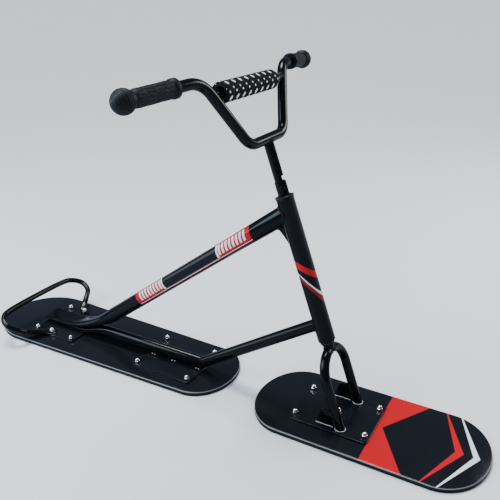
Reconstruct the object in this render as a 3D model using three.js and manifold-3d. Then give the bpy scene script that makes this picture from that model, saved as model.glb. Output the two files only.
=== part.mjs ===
// Snow scooter: a steel frame on a long rear board, steered by a short front board.
// Millimetres. X points forward, Y to the rider's left, Z up.
// Heights are measured from the snow, and lengths along X from the foot of the head tube.
// The exported group moves the whole scooter so that its origin lies under its middle.
import * as THREE from "three";
import { mergeVertices } from "three/addons/utils/BufferGeometryUtils.js";
import Module from "manifold-3d";

const wasm = await Module();
wasm.setup();

// Fits
const seam = 0.3; // gap between two pieces that touch
const runningGap = 0.08; // steerer in its bushes, on the radius
const overrun = 6; // how far a cutter runs past a face
const mergeDistance = 1e-4; // corners nearer than this are one corner

// Boards
const soleThickness = 1.8;
const coreThickness = 8.9;
const rearTailX = -1037;
const rearTailRound = 132; // length of the rounded tail
const rearNoseX = -252;
const rearNoseRound = 88;
const rearTailHalfWidth = 126;
const rearNoseHalfWidth = 110;
const frontTailX = -168;
const frontTailRound = 100;
const frontNoseX = 384;
const frontNoseRound = 105;
const frontHalfWidth = 126;

// Mounting plates on the boards
const plateThickness = 4;
const plateCorner = 8;
const rearPlateBackX = -889;
const rearPlateFrontX = -737;
const middlePlateBackX = -522;
const middlePlateFrontX = -338;
const rearPlateHalfWidth = 81;
const frontPlateBackX = -62;
const frontPlateFrontX = 132;
const frontPlateHalfWidth = 76;

// Bolts through the boards
const rearBoltXs = [-877, -821, -748, -509, -350];
const rearBoltHalfSpacing = 67;
const hoopBoltIndex = 1; // the pair that also holds the hoop
const frontBoltBackX = -50;
const frontBoltMiddleX = 36.5;
const frontBoltFrontX = 120;
const frontBoltHalfSpacing = 54;
const boltDiameter = 7.8;
const boltHoleDiameter = 8.6;
const boltHeadDiameter = 20;
const boltHeadThickness = 2.8;
const boltHeadRecess = 0.6; // the head stays this far above the snow
const boltNeckSide = 7.9;
const boltNeckHeight = 4;
const nutAcrossFlats = 13;
const nutHexHeight = 5;
const nutDomeDiameter = 12.4;
const nutHeight = 11.6;
const nutBoreDepth = 9.2;
const threadLength = 8.4; // how far the bolt stands into the nut

// Head tube and steering axis
const rakeDegrees = 19.65;
const headFootHeight = 195.4; // of the lower end of the head tube's axis
const headLength = 351;
const headDiameter = 40;
const headWall = 2.5;
const headChamfer = 2.5;
const headGussetThickness = 4;
const headGussetReach = 17; // behind the head tube, under the upper tube
const headGussetDrops = [35, 57, 81]; // below the upper tube's axis: back corner, bend, lowest point
const bushLength = 24;
const bushFlangeThickness = 3.5;
const lowerFlangeDiameter = 34;
const upperFlangeDiameter = 42.5;

// Frame tubes
const tubeWall = 2;
const upperDiameter = 40;
const upperHeadHeight = 43; // the tube is a little taller where it meets the head tube
const upperFlareLength = 190;
const upperBelowHeadTop = 37; // down the head axis, to the tube's own axis
const upperAngleDegrees = 36.9;
const bladeHalfWidth = 29.5;
const bladeHalfThickness = 4.8;
// Distances along X from the corner where the upper tube's axis would meet the blade's
const bladeTipBehind = 177;
const bladeStartBehind = 100;
const upperBendAhead = 80;
const lowerDiameter = 28.6;
const lowerMeetsHead = 49;
const lowerAngleDegrees = 32.9;
const railFlatHalfWidth = 21.5;
const railFlatHalfThickness = 4.5;
const railTipBehind = 165;
const railFlatEndBehind = 40;
const railRoundAhead = 55;

// Foot hoop round the tail
const hoopDiameter = 16;
const hoopLugThickness = 3;
const hoopLugHalfWidth = 11.5;
const hoopBackX = -937;
const hoopHalfWidth = 152;
const hoopRise = 61; // of the bar's middle, from the lugs to the back

// Fork
const forkDiameter = 22.2;
const forkHalfSpacing = 57;
const forkArchDrop = 18.5; // from the head tube's foot to the middle of the arch's tube
const forkWall = 2;
const gussetThickness = 4;
const gussetBackX = 4;
const gussetTopX = 17;
const gussetHeight = 42;
const gussetCorner = 8;

// Steerer, post and bars
const steererDiameter = 25.4;
const steererStandout = 32; // above the head tube
const crownRingDiameter = 31;
const crownRingThickness = 3.2;
const retainingRingDiameter = 31;
const retainingRingThickness = 2;
const barDiameter = 22.2;
const barWall = 2;
const postInsert = 121; // below the steerer's top
const postStandout = 94; // from the steerer's top to the middle of the bar's lowest run
const postNotchAbove = 1.5; // above the steerer's top
const postNotchHeight = 10;
const postNotchDepth = 4.8;
const steererSlotWidth = 6.6;
const lockScrewDrop = 14; // below the steerer's top
const slotBelowScrew = 6;
const lockScrewDegrees = -60; // round the axis, from straight ahead
const lockScrewHeadDiameter = 10;
const lockScrewHeadHeight = 4;
const lockScrewDiameter = 5;
const barRise = 144;
const barFootHalfSpacing = 74;
const barShoulderHalfSpacing = 166;
const barShoulderSetback = 4;
const barBendRadius = 44;
const gripEndHalfSpacing = 348; // to the middle of the round grip end
const gripSetback = 38.5;
const crossbarDiameter = 16;
const crossbarDrop = 28.6; // below the bar's shoulders

// Grips and pad
const gripDiameter = 33;
const gripFlangeDiameter = 37;
const gripFlangeThickness = 4;
const gripFlangeHalfSpacing = 230;
const gripBallDiameter = 45;
const gripNeckDiameter = 29;
const barEndPastBall = 8;
const padDiameter = 42;
const padCoverThickness = 1;
const padRightEnd = 118;
const padLeftEnd = 88;
const padEdge = 4;

// Heights and places that follow from the sizes above
const coreBottom = soleThickness + seam;
const boardTop = coreBottom + coreThickness;
const plateBottom = boardTop + seam;
const plateTop = plateBottom + plateThickness;
const steelBase = plateTop + seam;
const rake = THREE.MathUtils.degToRad(rakeDegrees);
const upperMeetsHead = headLength - upperBelowHeadTop;
const upperAngle = THREE.MathUtils.degToRad(upperAngleDegrees);
const lowerAngle = THREE.MathUtils.degToRad(lowerAngleDegrees);
const lowerRadius = lowerDiameter / 2;
const railHeight = steelBase + lowerRadius;
const barRadius = barDiameter / 2;
const steererRadius = steererDiameter / 2;
const forkRadius = forkDiameter / 2;
const steererTop = headLength + steererStandout;
const lockScrewHeight = steererTop - lockScrewDrop;
const slotBottom = lockScrewHeight - slotBelowScrew;
const barHeight = steererTop + postStandout;
const shoulderHeight = barHeight + barRise;
const crossbarHeight = shoulderHeight - crossbarDrop;

const roundSides = 16;
const fineSides = 28;
const boltSides = 12;

const paints = {
  frame: new THREE.MeshStandardMaterial({ color: 0x14161a, roughness: 0.25, metalness: 0.3 }),
  board: new THREE.MeshStandardMaterial({ color: 0x1b1d22, roughness: 0.2, metalness: 0 }),
  print: new THREE.MeshStandardMaterial({ color: 0xb01c1c, roughness: 0.25, metalness: 0 }),
  sole: new THREE.MeshStandardMaterial({ color: 0x2a2a2c, roughness: 0.5, metalness: 0 }),
  rubber: new THREE.MeshStandardMaterial({ color: 0x151515, roughness: 0.8, metalness: 0 }),
  net: new THREE.MeshStandardMaterial({ color: 0x202124, roughness: 0.9, metalness: 0 }),
  foam: new THREE.MeshStandardMaterial({ color: 0x303030, roughness: 1, metalness: 0 }),
  zinc: new THREE.MeshStandardMaterial({ color: 0xc9ccd0, roughness: 0.3, metalness: 0.9 }),
  bush: new THREE.MeshStandardMaterial({ color: 0x55585c, roughness: 0.5, metalness: 0 }),
};

// Solids for cutting and joining
function solidOf(geometry) {
  const bare = geometry.index ? geometry.toNonIndexed() : geometry.clone();
  bare.deleteAttribute("normal");
  bare.deleteAttribute("uv");
  const merged = mergeVertices(bare, mergeDistance);
  return new wasm.Manifold(
    new wasm.Mesh({
      numProp: 3,
      vertProperties: merged.attributes.position.array,
      triVerts: new Uint32Array(merged.index.array),
    }),
  );
}

function geometryOf(solid) {
  const mesh = solid.getMesh();
  const geometry = new THREE.BufferGeometry();
  const corners = new Float32Array(mesh.vertProperties);
  geometry.setAttribute("position", new THREE.BufferAttribute(corners, mesh.numProp));
  geometry.setIndex(new THREE.BufferAttribute(new Uint32Array(mesh.triVerts), 1));
  geometry.computeVertexNormals();
  return geometry;
}

function cut(geometry, ...cutters) {
  return geometryOf(cutters.reduce((left, cutter) => left.subtract(solidOf(cutter)), solidOf(geometry)));
}

function join(first, ...others) {
  return geometryOf(others.reduce((sum, other) => sum.add(solidOf(other)), solidOf(first)));
}

// A turned piece about +Z. The profile lists [radius, height] anticlockwise: up the outside, down the bore.
function turned(profile, sides = roundSides) {
  const points = profile.map(([radius, height]) => new THREE.Vector2(radius, height));
  if (profile[0][0] > 0) points.push(points[0].clone());
  return new THREE.LatheGeometry(points, sides).rotateX(Math.PI / 2);
}

function pipe(outerRadius, innerRadius, bottom, top, sides = roundSides) {
  return turned(
    [
      [outerRadius, bottom],
      [outerRadius, top],
      [innerRadius, top],
      [innerRadius, bottom],
    ],
    sides,
  );
}

function rod(radius, bottom, top, sides = roundSides) {
  return new THREE.CylinderGeometry(radius, radius, top - bottom, sides)
    .rotateX(Math.PI / 2)
    .translate(0, 0, (bottom + top) / 2);
}

function block(sizeX, sizeY, bottom, top) {
  return new THREE.BoxGeometry(sizeX, sizeY, top - bottom).translate(0, 0, (bottom + top) / 2);
}

// A flat piece cut from sheet, standing on the height bottom
function sheet(shape, bottom, top, curveSegments = 10) {
  return new THREE.ExtrudeGeometry(shape, {
    depth: top - bottom,
    bevelEnabled: false,
    curveSegments,
  }).translate(0, 0, bottom);
}

// A tube through stations. Each station has its middle, the two unit directions of its section
// (side and up), the half sizes along them and the squareness of the section: 2 is an ellipse.
function ringOf(station, inset, sides) {
  const ring = [];
  for (let k = 0; k < sides; k += 1) {
    const angle = (2 * Math.PI * k) / sides;
    const power = 2 / station.squareness;
    const c = Math.sign(Math.cos(angle)) * Math.abs(Math.cos(angle)) ** power;
    const s = Math.sign(Math.sin(angle)) * Math.abs(Math.sin(angle)) ** power;
    ring.push(
      station.middle
        .clone()
        .addScaledVector(station.side, (station.halfWidth - inset) * c)
        .addScaledVector(station.up, (station.halfHeight - inset) * s),
    );
  }
  return ring;
}

function tubeThrough(stations, wall, sides = roundSides) {
  const walls = [stations.map((station) => ringOf(station, 0, sides))];
  if (wall > 0) walls.push(stations.map((station) => ringOf(station, wall, sides)));
  const positions = [];
  const index = [];
  const count = stations.length;
  walls.forEach((rings) => rings.forEach((ring) => ring.forEach((p) => positions.push(p.x, p.y, p.z))));
  const at = (skin, station, k) => (skin * count + station) * sides + (k % sides);
  const quad = (a, b, c, d) => index.push(a, b, c, a, c, d);
  for (let k = 0; k < sides; k += 1) {
    for (let i = 0; i + 1 < count; i += 1) {
      quad(at(0, i, k), at(0, i, k + 1), at(0, i + 1, k + 1), at(0, i + 1, k));
      if (wall > 0) quad(at(1, i, k), at(1, i + 1, k), at(1, i + 1, k + 1), at(1, i, k + 1));
    }
    if (wall > 0) {
      quad(at(0, 0, k), at(1, 0, k), at(1, 0, k + 1), at(0, 0, k + 1));
      quad(at(0, count - 1, k), at(0, count - 1, k + 1), at(1, count - 1, k + 1), at(1, count - 1, k));
    }
  }
  if (wall === 0) {
    for (let k = 1; k + 1 < sides; k += 1) {
      index.push(at(0, 0, 0), at(0, 0, k + 1), at(0, 0, k));
      index.push(at(0, count - 1, 0), at(0, count - 1, k), at(0, count - 1, k + 1));
    }
  }
  const geometry = new THREE.BufferGeometry();
  geometry.setAttribute("position", new THREE.Float32BufferAttribute(positions, 3));
  geometry.setIndex(index);
  geometry.computeVertexNormals();
  return geometry;
}

// Round stations along a route of corners, each corner rounded with its own bend radius
function bentRoute(corners, radii, stepsPerBend) {
  const points = [corners[0].clone()];
  for (let i = 1; i + 1 < corners.length; i += 1) {
    const back = corners[i - 1].clone().sub(corners[i]).normalize();
    const ahead = corners[i + 1].clone().sub(corners[i]).normalize();
    const halfAngle = back.angleTo(ahead) / 2;
    const reach = radii[i] / Math.tan(halfAngle);
    const inward = back.clone().add(ahead).normalize();
    const centre = corners[i].clone().addScaledVector(inward, radii[i] / Math.sin(halfAngle));
    const start = corners[i].clone().addScaledVector(back, reach).sub(centre);
    const stop = corners[i].clone().addScaledVector(ahead, reach).sub(centre);
    const axis = start.clone().cross(stop).normalize();
    const sweep = Math.PI - 2 * halfAngle;
    for (let k = 0; k <= stepsPerBend; k += 1) {
      points.push(start.clone().applyAxisAngle(axis, (sweep * k) / stepsPerBend).add(centre));
    }
  }
  points.push(corners[corners.length - 1].clone());
  return points;
}

function directionAt(points, i) {
  const before = points[Math.max(i - 1, 0)];
  const after = points[Math.min(i + 1, points.length - 1)];
  return after.clone().sub(before).normalize();
}

// Sections along a route, turned as little as possible from one to the next
function stationsAlong(points, radius) {
  let up = new THREE.Vector3(0, 0, 1);
  if (Math.abs(directionAt(points, 0).z) > Math.SQRT1_2) up = new THREE.Vector3(1, 0, 0);
  return points.map((middle, i) => {
    const ahead = directionAt(points, i);
    const side = up.clone().cross(ahead).normalize();
    up = ahead.clone().cross(side).normalize();
    return { middle, side, up, halfWidth: radius, halfHeight: radius, squareness: 2 };
  });
}

// Stations of a tube that lies in the middle plane, with its section's tilt above the horizontal
function middleStation(x, z, tilt, halfWidth, halfHeight, squareness = 2) {
  return {
    middle: new THREE.Vector3(x, 0, z),
    side: new THREE.Vector3(0, 1, 0),
    up: new THREE.Vector3(-Math.sin(tilt), 0, Math.cos(tilt)),
    halfWidth,
    halfHeight,
    squareness,
  };
}

const smooth = (t) => t * t * (3 - 2 * t);
const blend = (a, b, t) => a + (b - a) * t;

// Everything about the steering axis is placed in this group: its Z runs up the head tube.
const headGroup = new THREE.Group();
headGroup.position.set(0, 0, headFootHeight);
headGroup.rotation.y = -rake;
headGroup.updateMatrix();
const toHead = headGroup.matrix.clone().invert();
const onHeadAxis = (distance) => new THREE.Vector3(0, 0, distance).applyMatrix4(headGroup.matrix);

const scooter = new THREE.Group();
scooter.add(headGroup);

function add(group, name, geometry, paint) {
  const mesh = new THREE.Mesh(geometry, paint);
  mesh.name = name;
  group.add(mesh);
  return mesh;
}

// Boards: a plywood core with a printed top, on a plastic running sole
function boardShape(tailX, tailRound, noseX, noseRound, tailHalfWidth, noseHalfWidth) {
  const shape = new THREE.Shape();
  shape.moveTo(noseX - noseRound, -noseHalfWidth);
  shape.absellipse(noseX - noseRound, 0, noseRound, noseHalfWidth, -Math.PI / 2, Math.PI / 2, false);
  shape.lineTo(tailX + tailRound, tailHalfWidth);
  shape.absellipse(tailX + tailRound, 0, tailRound, tailHalfWidth, Math.PI / 2, (3 * Math.PI) / 2, false);
  return shape;
}

function holeAt(x, y, radius, sides = boltSides) {
  const hole = new THREE.Path();
  for (let k = 0; k < sides; k += 1) {
    const angle = (2 * Math.PI * k) / sides;
    const px = x + radius * Math.cos(angle);
    const py = y + radius * Math.sin(angle);
    if (k === 0) hole.moveTo(px, py);
    else hole.lineTo(px, py);
  }
  hole.closePath();
  return hole;
}

const headRecessRadius = boltHeadDiameter / 2 + 2 * seam;
const headTop = boltHeadRecess + boltHeadThickness;
const neckTop = headTop + boltNeckHeight;
const pocketSide = boltNeckSide + 2 * seam;

function makeBoard(name, shape, places, topPaint) {
  const sole = shape.clone();
  const core = shape.clone();
  sole.holes = places.map(([x, y]) => holeAt(x, y, headRecessRadius));
  core.holes = places.map(([x, y]) => holeAt(x, y, boltHoleDiameter / 2));
  add(scooter, name + "_sole", sheet(sole, 0, soleThickness), paints.sole);
  const pockets = places.flatMap(([x, y]) => [
    rod(headRecessRadius, coreBottom - overrun, headTop + seam, boltSides).translate(x, y, 0),
    block(pocketSide, pocketSide, coreBottom, neckTop + seam).translate(x, y, 0),
  ]);
  add(scooter, name + "_board", cut(sheet(core, coreBottom, boardTop), ...pockets), topPaint);
}

const rearBoltPlaces = rearBoltXs.flatMap((x) => [
  [x, -rearBoltHalfSpacing],
  [x, rearBoltHalfSpacing],
]);
const frontBoltPlaces = [
  [frontBoltBackX, -frontBoltHalfSpacing],
  [frontBoltBackX, frontBoltHalfSpacing],
  [frontBoltMiddleX, 0],
  [frontBoltFrontX, -frontBoltHalfSpacing],
  [frontBoltFrontX, frontBoltHalfSpacing],
];

makeBoard(
  "rear",
  boardShape(rearTailX, rearTailRound, rearNoseX, rearNoseRound, rearTailHalfWidth, rearNoseHalfWidth),
  rearBoltPlaces,
  paints.board,
);
makeBoard(
  "front",
  boardShape(frontTailX, frontTailRound, frontNoseX, frontNoseRound, frontHalfWidth, frontHalfWidth),
  frontBoltPlaces,
  paints.print,
);

// Steel plates that spread the bolts' load over the boards
function plate(name, backX, frontX, halfWidth, places) {
  const shape = new THREE.Shape();
  const r = plateCorner;
  shape.moveTo(backX + r, -halfWidth);
  shape.lineTo(frontX - r, -halfWidth);
  shape.absarc(frontX - r, r - halfWidth, r, -Math.PI / 2, 0, false);
  shape.absarc(frontX - r, halfWidth - r, r, 0, Math.PI / 2, false);
  shape.absarc(backX + r, halfWidth - r, r, Math.PI / 2, Math.PI, false);
  shape.absarc(backX + r, r - halfWidth, r, Math.PI, (3 * Math.PI) / 2, false);
  shape.holes = places
    .filter(([x]) => x > backX && x < frontX)
    .map(([x, y]) => holeAt(x, y, boltHoleDiameter / 2));
  add(scooter, name, sheet(shape, plateBottom, plateTop, 3), paints.frame);
}

plate("rear_plate", rearPlateBackX, rearPlateFrontX, rearPlateHalfWidth, rearBoltPlaces);
plate("middle_plate", middlePlateBackX, middlePlateFrontX, rearPlateHalfWidth, rearBoltPlaces);
plate("front_plate", frontPlateBackX, frontPlateFrontX, frontPlateHalfWidth, frontBoltPlaces);

// Carriage bolts from below, with domed nuts on top
function carriageBolt(seat) {
  const radius = boltDiameter / 2;
  const headRadius = boltHeadDiameter / 2;
  const turnedPart = turned(
    [
      [0, boltHeadRecess],
      [headRadius - boltHeadRecess, boltHeadRecess],
      [headRadius, headTop],
      [radius, headTop],
      [radius, seat + threadLength],
      [0, seat + threadLength],
    ],
    boltSides,
  );
  return join(turnedPart, block(boltNeckSide, boltNeckSide, headTop - boltHeadThickness / 2, neckTop));
}

function domedNut(seat) {
  const domeRadius = nutDomeDiameter / 2;
  const domeRise = nutHeight - nutHexHeight;
  const profile = [[0, seat + seam]];
  profile.push([domeRadius, seat + seam]);
  const steps = 3;
  for (let k = 0; k < steps; k += 1) {
    const angle = (k * Math.PI) / 2 / steps;
    profile.push([domeRadius * Math.cos(angle), seat + nutHexHeight + domeRise * Math.sin(angle)]);
  }
  profile.push([0, seat + nutHeight]);
  const hexRadius = nutAcrossFlats / 2 / Math.cos(Math.PI / 6);
  const hex = rod(hexRadius, seat, seat + nutHexHeight, 6);
  const bore = rod(boltDiameter / 2 + seam, seat - overrun, seat + nutBoreDepth, boltSides);
  return cut(join(hex, turned(profile, boltSides)), bore);
}

function fasten(name, places, seatOf) {
  places.forEach(([x, y], i) => {
    const seat = seatOf(x);
    add(scooter, `${name}_bolt_${i + 1}`, carriageBolt(seat), paints.zinc).position.set(x, y, 0);
    add(scooter, `${name}_nut_${i + 1}`, domedNut(seat), paints.zinc).position.set(x, y, 0);
  });
}

const hoopBoltX = rearBoltXs[hoopBoltIndex];
fasten("rear", rearBoltPlaces, (x) => (x === hoopBoltX ? steelBase + hoopLugThickness + seam : steelBase));
fasten("front", frontBoltPlaces, () => steelBase);

// Foot hoop: a steel bar round the tail, its ends pressed flat and held by one pair of bolts.
// Shares of the way from the bolt to the back, of the half width and of the rise, and how flat it is
const hoopShares = [
  { back: -0.078, out: 0.395, up: 0, flat: 1 },
  { back: 0, out: 0.441, up: 0, flat: 1 },
  { back: 0.1, out: 0.5, up: 0, flat: 1 },
  { back: 0.21, out: 0.6, up: 0.11, flat: 0.2 },
  { back: 0.345, out: 0.776, up: 0.213, flat: 0 },
  { back: 0.474, out: 0.947, up: 0.475, flat: 0 },
  { back: 0.724, out: 1, up: 0.705, flat: 0 },
  { back: 0.94, out: 0.895, up: 0.852, flat: 0 },
  { back: 1.017, out: 0.678, up: 0.934, flat: 0 },
  { back: 1, out: 0, up: 1, flat: 0 },
];

function makeHoop() {
  const hoopRadius = hoopDiameter / 2;
  const lugHeight = steelBase + hoopLugThickness / 2;
  const placed = (share, hand) => ({
    middle: new THREE.Vector3(
      blend(hoopBoltX, hoopBackX, share.back),
      hand * hoopHalfWidth * share.out,
      lugHeight + hoopRise * share.up,
    ),
    flat: share.flat,
  });
  const right = hoopShares.map((share) => placed(share, -1));
  const left = hoopShares.slice(0, -1).map((share) => placed(share, 1));
  const all = [...right, ...left.reverse()];
  const curve = new THREE.CatmullRomCurve3(
    all.map((point) => point.middle),
    false,
    "centripetal",
  );
  const stepsPerSpan = 2;
  const spans = all.length - 1;
  const points = [];
  const flats = [];
  for (let k = 0; k <= spans * stepsPerSpan; k += 1) {
    const span = Math.min(Math.floor(k / stepsPerSpan), spans - 1);
    const within = k / stepsPerSpan - span;
    points.push(curve.getPoint(k / (spans * stepsPerSpan)));
    flats.push(blend(all[span].flat, all[span + 1].flat, within));
  }
  const stations = points.map((middle, i) => {
    const ahead = directionAt(points, i);
    const side = new THREE.Vector3(0, 0, 1).cross(ahead).normalize();
    const up = ahead.clone().cross(side).normalize();
    const halfWidth = blend(hoopRadius, hoopLugHalfWidth, flats[i]);
    const halfHeight = blend(hoopRadius, hoopLugThickness / 2, flats[i]);
    return { middle, side, up, halfWidth, halfHeight, squareness: 2 + 2 * flats[i] };
  });
  const cutters = [-1, 1].map((hand) =>
    rod(boltHoleDiameter / 2, plateTop, plateTop + hoopDiameter, boltSides).translate(
      hoopBoltX,
      hand * rearBoltHalfSpacing,
      0,
    ),
  );
  const underHoop = [
    { back: rearTailX, front: rearNoseX, halfWidth: rearTailHalfWidth, top: boardTop + seam },
    {
      back: rearPlateBackX - seam,
      front: rearPlateFrontX + seam,
      halfWidth: rearPlateHalfWidth + seam,
      top: steelBase,
    },
  ].map(({ back, front, halfWidth, top }) =>
    block(front - back, 2 * halfWidth, 0, top).translate((back + front) / 2, 0, 0),
  );
  return cut(tubeThrough(stations, 0, boltSides), ...cutters, ...underHoop);
}

add(scooter, "foot_hoop", makeHoop(), paints.frame);

// The upper tube's axis runs straight down from the head tube to the corner over its blade
const upperTop = onHeadAxis(upperMeetsHead);
const bladeHeight = steelBase + 2 * railFlatHalfThickness + seam + bladeHalfThickness;
const cornerX = upperTop.x - (upperTop.z - bladeHeight) / Math.tan(upperAngle);

// Rail: a round tube along the board, pressed flat at the back, mitred to the lower tube in front
const railFlatEndX = cornerX - railFlatEndBehind;
const railRoundX = cornerX + railRoundAhead;
const lowerEnd = onHeadAxis(lowerMeetsHead);
const mitreX = lowerEnd.x - (lowerEnd.z - railHeight) / Math.tan(lowerAngle);
const mitreTilt = lowerAngle / 2;

function mitreStation(x) {
  return middleStation(x, railHeight, mitreTilt, lowerRadius, lowerRadius / Math.cos(mitreTilt));
}

function railStation(x) {
  const t = THREE.MathUtils.clamp((x - railFlatEndX) / (railRoundX - railFlatEndX), 0, 1);
  const round = smooth(t);
  const halfHeight = blend(railFlatHalfThickness, lowerRadius, round);
  const halfWidth = blend(railFlatHalfWidth, lowerRadius, round);
  return middleStation(x, steelBase + halfHeight, 0, halfWidth, halfHeight, 2 + 1.5 * (1 - round));
}

function makeRail() {
  const flatSteps = 6;
  const stations = [railStation(cornerX - railTipBehind)];
  for (let k = 0; k <= flatSteps; k += 1) {
    stations.push(railStation(blend(railFlatEndX, railRoundX, k / flatSteps)));
  }
  stations.push(mitreStation(mitreX - seam / 2));
  return tubeThrough(stations, tubeWall);
}

add(scooter, "rail", makeRail(), paints.frame);

// The frame's tubes end against the head tube, a seam away from it
function headCutter(radius) {
  return rod(radius, -headLength, 2 * headLength, fineSides).applyMatrix4(headGroup.matrix);
}

function makeLowerTube() {
  const start = mitreStation(mitreX + seam / 2);
  const stop = middleStation(lowerEnd.x, lowerEnd.z, lowerAngle, lowerRadius, lowerRadius);
  return cut(tubeThrough([start, stop], tubeWall), headCutter(headDiameter / 2 + seam));
}

add(scooter, "lower_tube", makeLowerTube(), paints.frame);

// Upper tube: straight from the head tube, then bent flat along the rail and pressed to a blade
function makeUpperTube() {
  const heightAt = (x) => bladeHeight + (x - cornerX) * Math.tan(upperAngle);
  const round = upperDiameter / 2;
  const bendStartX = cornerX + upperBendAhead;
  const bend = new THREE.QuadraticBezierCurve(
    new THREE.Vector2(cornerX - bladeStartBehind, bladeHeight),
    new THREE.Vector2(cornerX, bladeHeight),
    new THREE.Vector2(bendStartX, heightAt(bendStartX)),
  );
  const tipX = cornerX - bladeTipBehind;
  const stations = [middleStation(tipX, bladeHeight, 0, bladeHalfWidth, bladeHalfThickness, 3)];
  const bendSteps = 9;
  for (let k = 0; k <= bendSteps; k += 1) {
    const t = k / bendSteps;
    const point = bend.getPoint(t);
    const along = bend.getTangent(t);
    const open = t ** 1.5;
    stations.push(
      middleStation(
        point.x,
        point.y,
        Math.atan2(along.y, along.x),
        blend(bladeHalfWidth, round, open),
        blend(bladeHalfThickness, round, open),
        3 - open,
      ),
    );
  }
  const flareX = upperTop.x - upperFlareLength * Math.cos(upperAngle);
  stations.push(middleStation(flareX, heightAt(flareX), upperAngle, round, round));
  stations.push(middleStation(upperTop.x, upperTop.z, upperAngle, round - seam, upperHeadHeight / 2));
  return cut(tubeThrough(stations, tubeWall), headCutter(headDiameter / 2 + seam));
}

add(scooter, "upper_tube", makeUpperTube(), paints.frame);

// A small gusset in the corner between the upper tube and the head tube
function makeHeadGusset() {
  const face = -headDiameter / 2;
  const [corner, bend, lowest] = headGussetDrops.map((drop) => upperMeetsHead - drop);
  const shape = new THREE.Shape();
  shape.moveTo(face, lowest);
  shape.lineTo(face, upperMeetsHead);
  shape.lineTo(face - headGussetReach, upperMeetsHead);
  shape.lineTo(face - headGussetReach, corner);
  shape.quadraticCurveTo(face - headGussetReach / 3, bend, face, lowest);
  const half = headGussetThickness / 2;
  const web = sheet(shape, -half, half, 5).rotateX(Math.PI / 2);
  const under = rod(upperHeadHeight / 2 + seam, -upperFlareLength, 0)
    .rotateY(Math.PI / 2 - upperAngle)
    .translate(upperTop.x, upperTop.y, upperTop.z)
    .applyMatrix4(toHead);
  return cut(web, rod(headDiameter / 2 + seam, 0, headLength, fineSides), under);
}

add(headGroup, "head_gusset", makeHeadGusset(), paints.frame);

// Head tube with a flanged bush pressed into each end
const headBottom = bushFlangeThickness + seam;
const headTopEnd = headLength - bushFlangeThickness - seam;
const headBore = headDiameter / 2 - headWall;
const steererBore = (steererRadius + runningGap) / Math.cos(Math.PI / fineSides);

add(
  headGroup,
  "head_tube",
  turned(
    [
      [headDiameter / 2 - headChamfer, headBottom],
      [headDiameter / 2, headBottom + headChamfer],
      [headDiameter / 2, headTopEnd],
      [headBore, headTopEnd],
      [headBore, headBottom],
    ],
    fineSides,
  ),
  paints.frame,
);

function bush(flangeDiameter) {
  return turned(
    [
      [flangeDiameter / 2, 0],
      [flangeDiameter / 2, bushFlangeThickness],
      [headBore - seam, bushFlangeThickness],
      [headBore - seam, bushFlangeThickness + bushLength],
      [steererBore, bushFlangeThickness + bushLength],
      [steererBore, 0],
    ],
    fineSides,
  );
}

add(headGroup, "lower_bush", bush(lowerFlangeDiameter), paints.bush);
const upperBush = add(headGroup, "upper_bush", bush(upperFlangeDiameter), paints.bush);
upperBush.rotation.x = Math.PI;
upperBush.position.z = headLength;

// Steering body: fork, steerer and bars turn together on the head tube's axis.
// Fork: one tube bent into an arch, its feet welded to the front plate.
const archMiddle = -forkArchDrop - forkHalfSpacing;
const plateLevel = (offset) => {
  const plane = block(4 * headLength, 4 * headLength, -headLength, plateTop + offset);
  return plane.applyMatrix4(toHead);
};

function forkTube(radius, wall) {
  const points = [];
  const archSteps = 10;
  const legEnd = -headFootHeight / Math.cos(rake);
  points.push(new THREE.Vector3(0, -forkHalfSpacing, legEnd));
  for (let k = 0; k <= archSteps; k += 1) {
    const angle = Math.PI - (Math.PI * k) / archSteps;
    const across = forkHalfSpacing * Math.cos(angle);
    const along = archMiddle + forkHalfSpacing * Math.sin(angle);
    points.push(new THREE.Vector3(0, across, along));
  }
  points.push(new THREE.Vector3(0, forkHalfSpacing, legEnd));
  return tubeThrough(stationsAlong(points, radius), wall);
}

add(headGroup, "fork", cut(forkTube(forkRadius, forkWall), plateLevel(seam)), paints.frame);

// A gusset behind each fork leg, in the leg's own plane
function makeGusset(hand) {
  const shape = new THREE.Shape();
  const height = steelBase + gussetHeight;
  shape.moveTo(gussetBackX, steelBase);
  shape.lineTo(gussetTopX - gussetCorner / 4, height - gussetCorner);
  shape.quadraticCurveTo(gussetTopX, height, gussetTopX + gussetCorner, height);
  shape.lineTo(frontPlateFrontX / 2, height);
  shape.lineTo(frontPlateFrontX / 2, steelBase);
  const half = gussetThickness / 2;
  const flat = sheet(shape, -half, half, 4).rotateX(Math.PI / 2).translate(0, hand * forkHalfSpacing, 0);
  const leg = forkTube(forkRadius + seam, 0).applyMatrix4(headGroup.matrix);
  const ahead = block(frontPlateFrontX, 4 * gussetThickness, -headLength, headLength)
    .translate(frontPlateFrontX / 2, hand * forkHalfSpacing, 0)
    .applyMatrix4(headGroup.matrix);
  return cut(flat, leg, ahead);
}

add(scooter, "right_gusset", makeGusset(-1), paints.frame);
add(scooter, "left_gusset", makeGusset(1), paints.frame);

// Steerer: coped on the arch, with a ring below the lower bush, and slotted at its top
function makeSteerer() {
  const inner = barRadius + seam;
  const ringTop = -seam;
  const tube = turned(
    [
      [steererRadius, -forkArchDrop],
      [steererRadius, ringTop - crownRingThickness],
      [crownRingDiameter / 2, ringTop - crownRingThickness],
      [crownRingDiameter / 2, ringTop],
      [steererRadius, ringTop],
      [steererRadius, steererTop],
      [inner, steererTop],
      [inner, -forkArchDrop],
    ],
    fineSides,
  );
  const slot = block(steererDiameter, steererSlotWidth, slotBottom, steererTop + overrun)
    .translate(steererRadius, 0, 0)
    .rotateZ(THREE.MathUtils.degToRad(lockScrewDegrees));
  return cut(tube, forkTube(forkRadius + seam, 0), slot);
}

add(headGroup, "steerer_tube", makeSteerer(), paints.frame);

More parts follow.
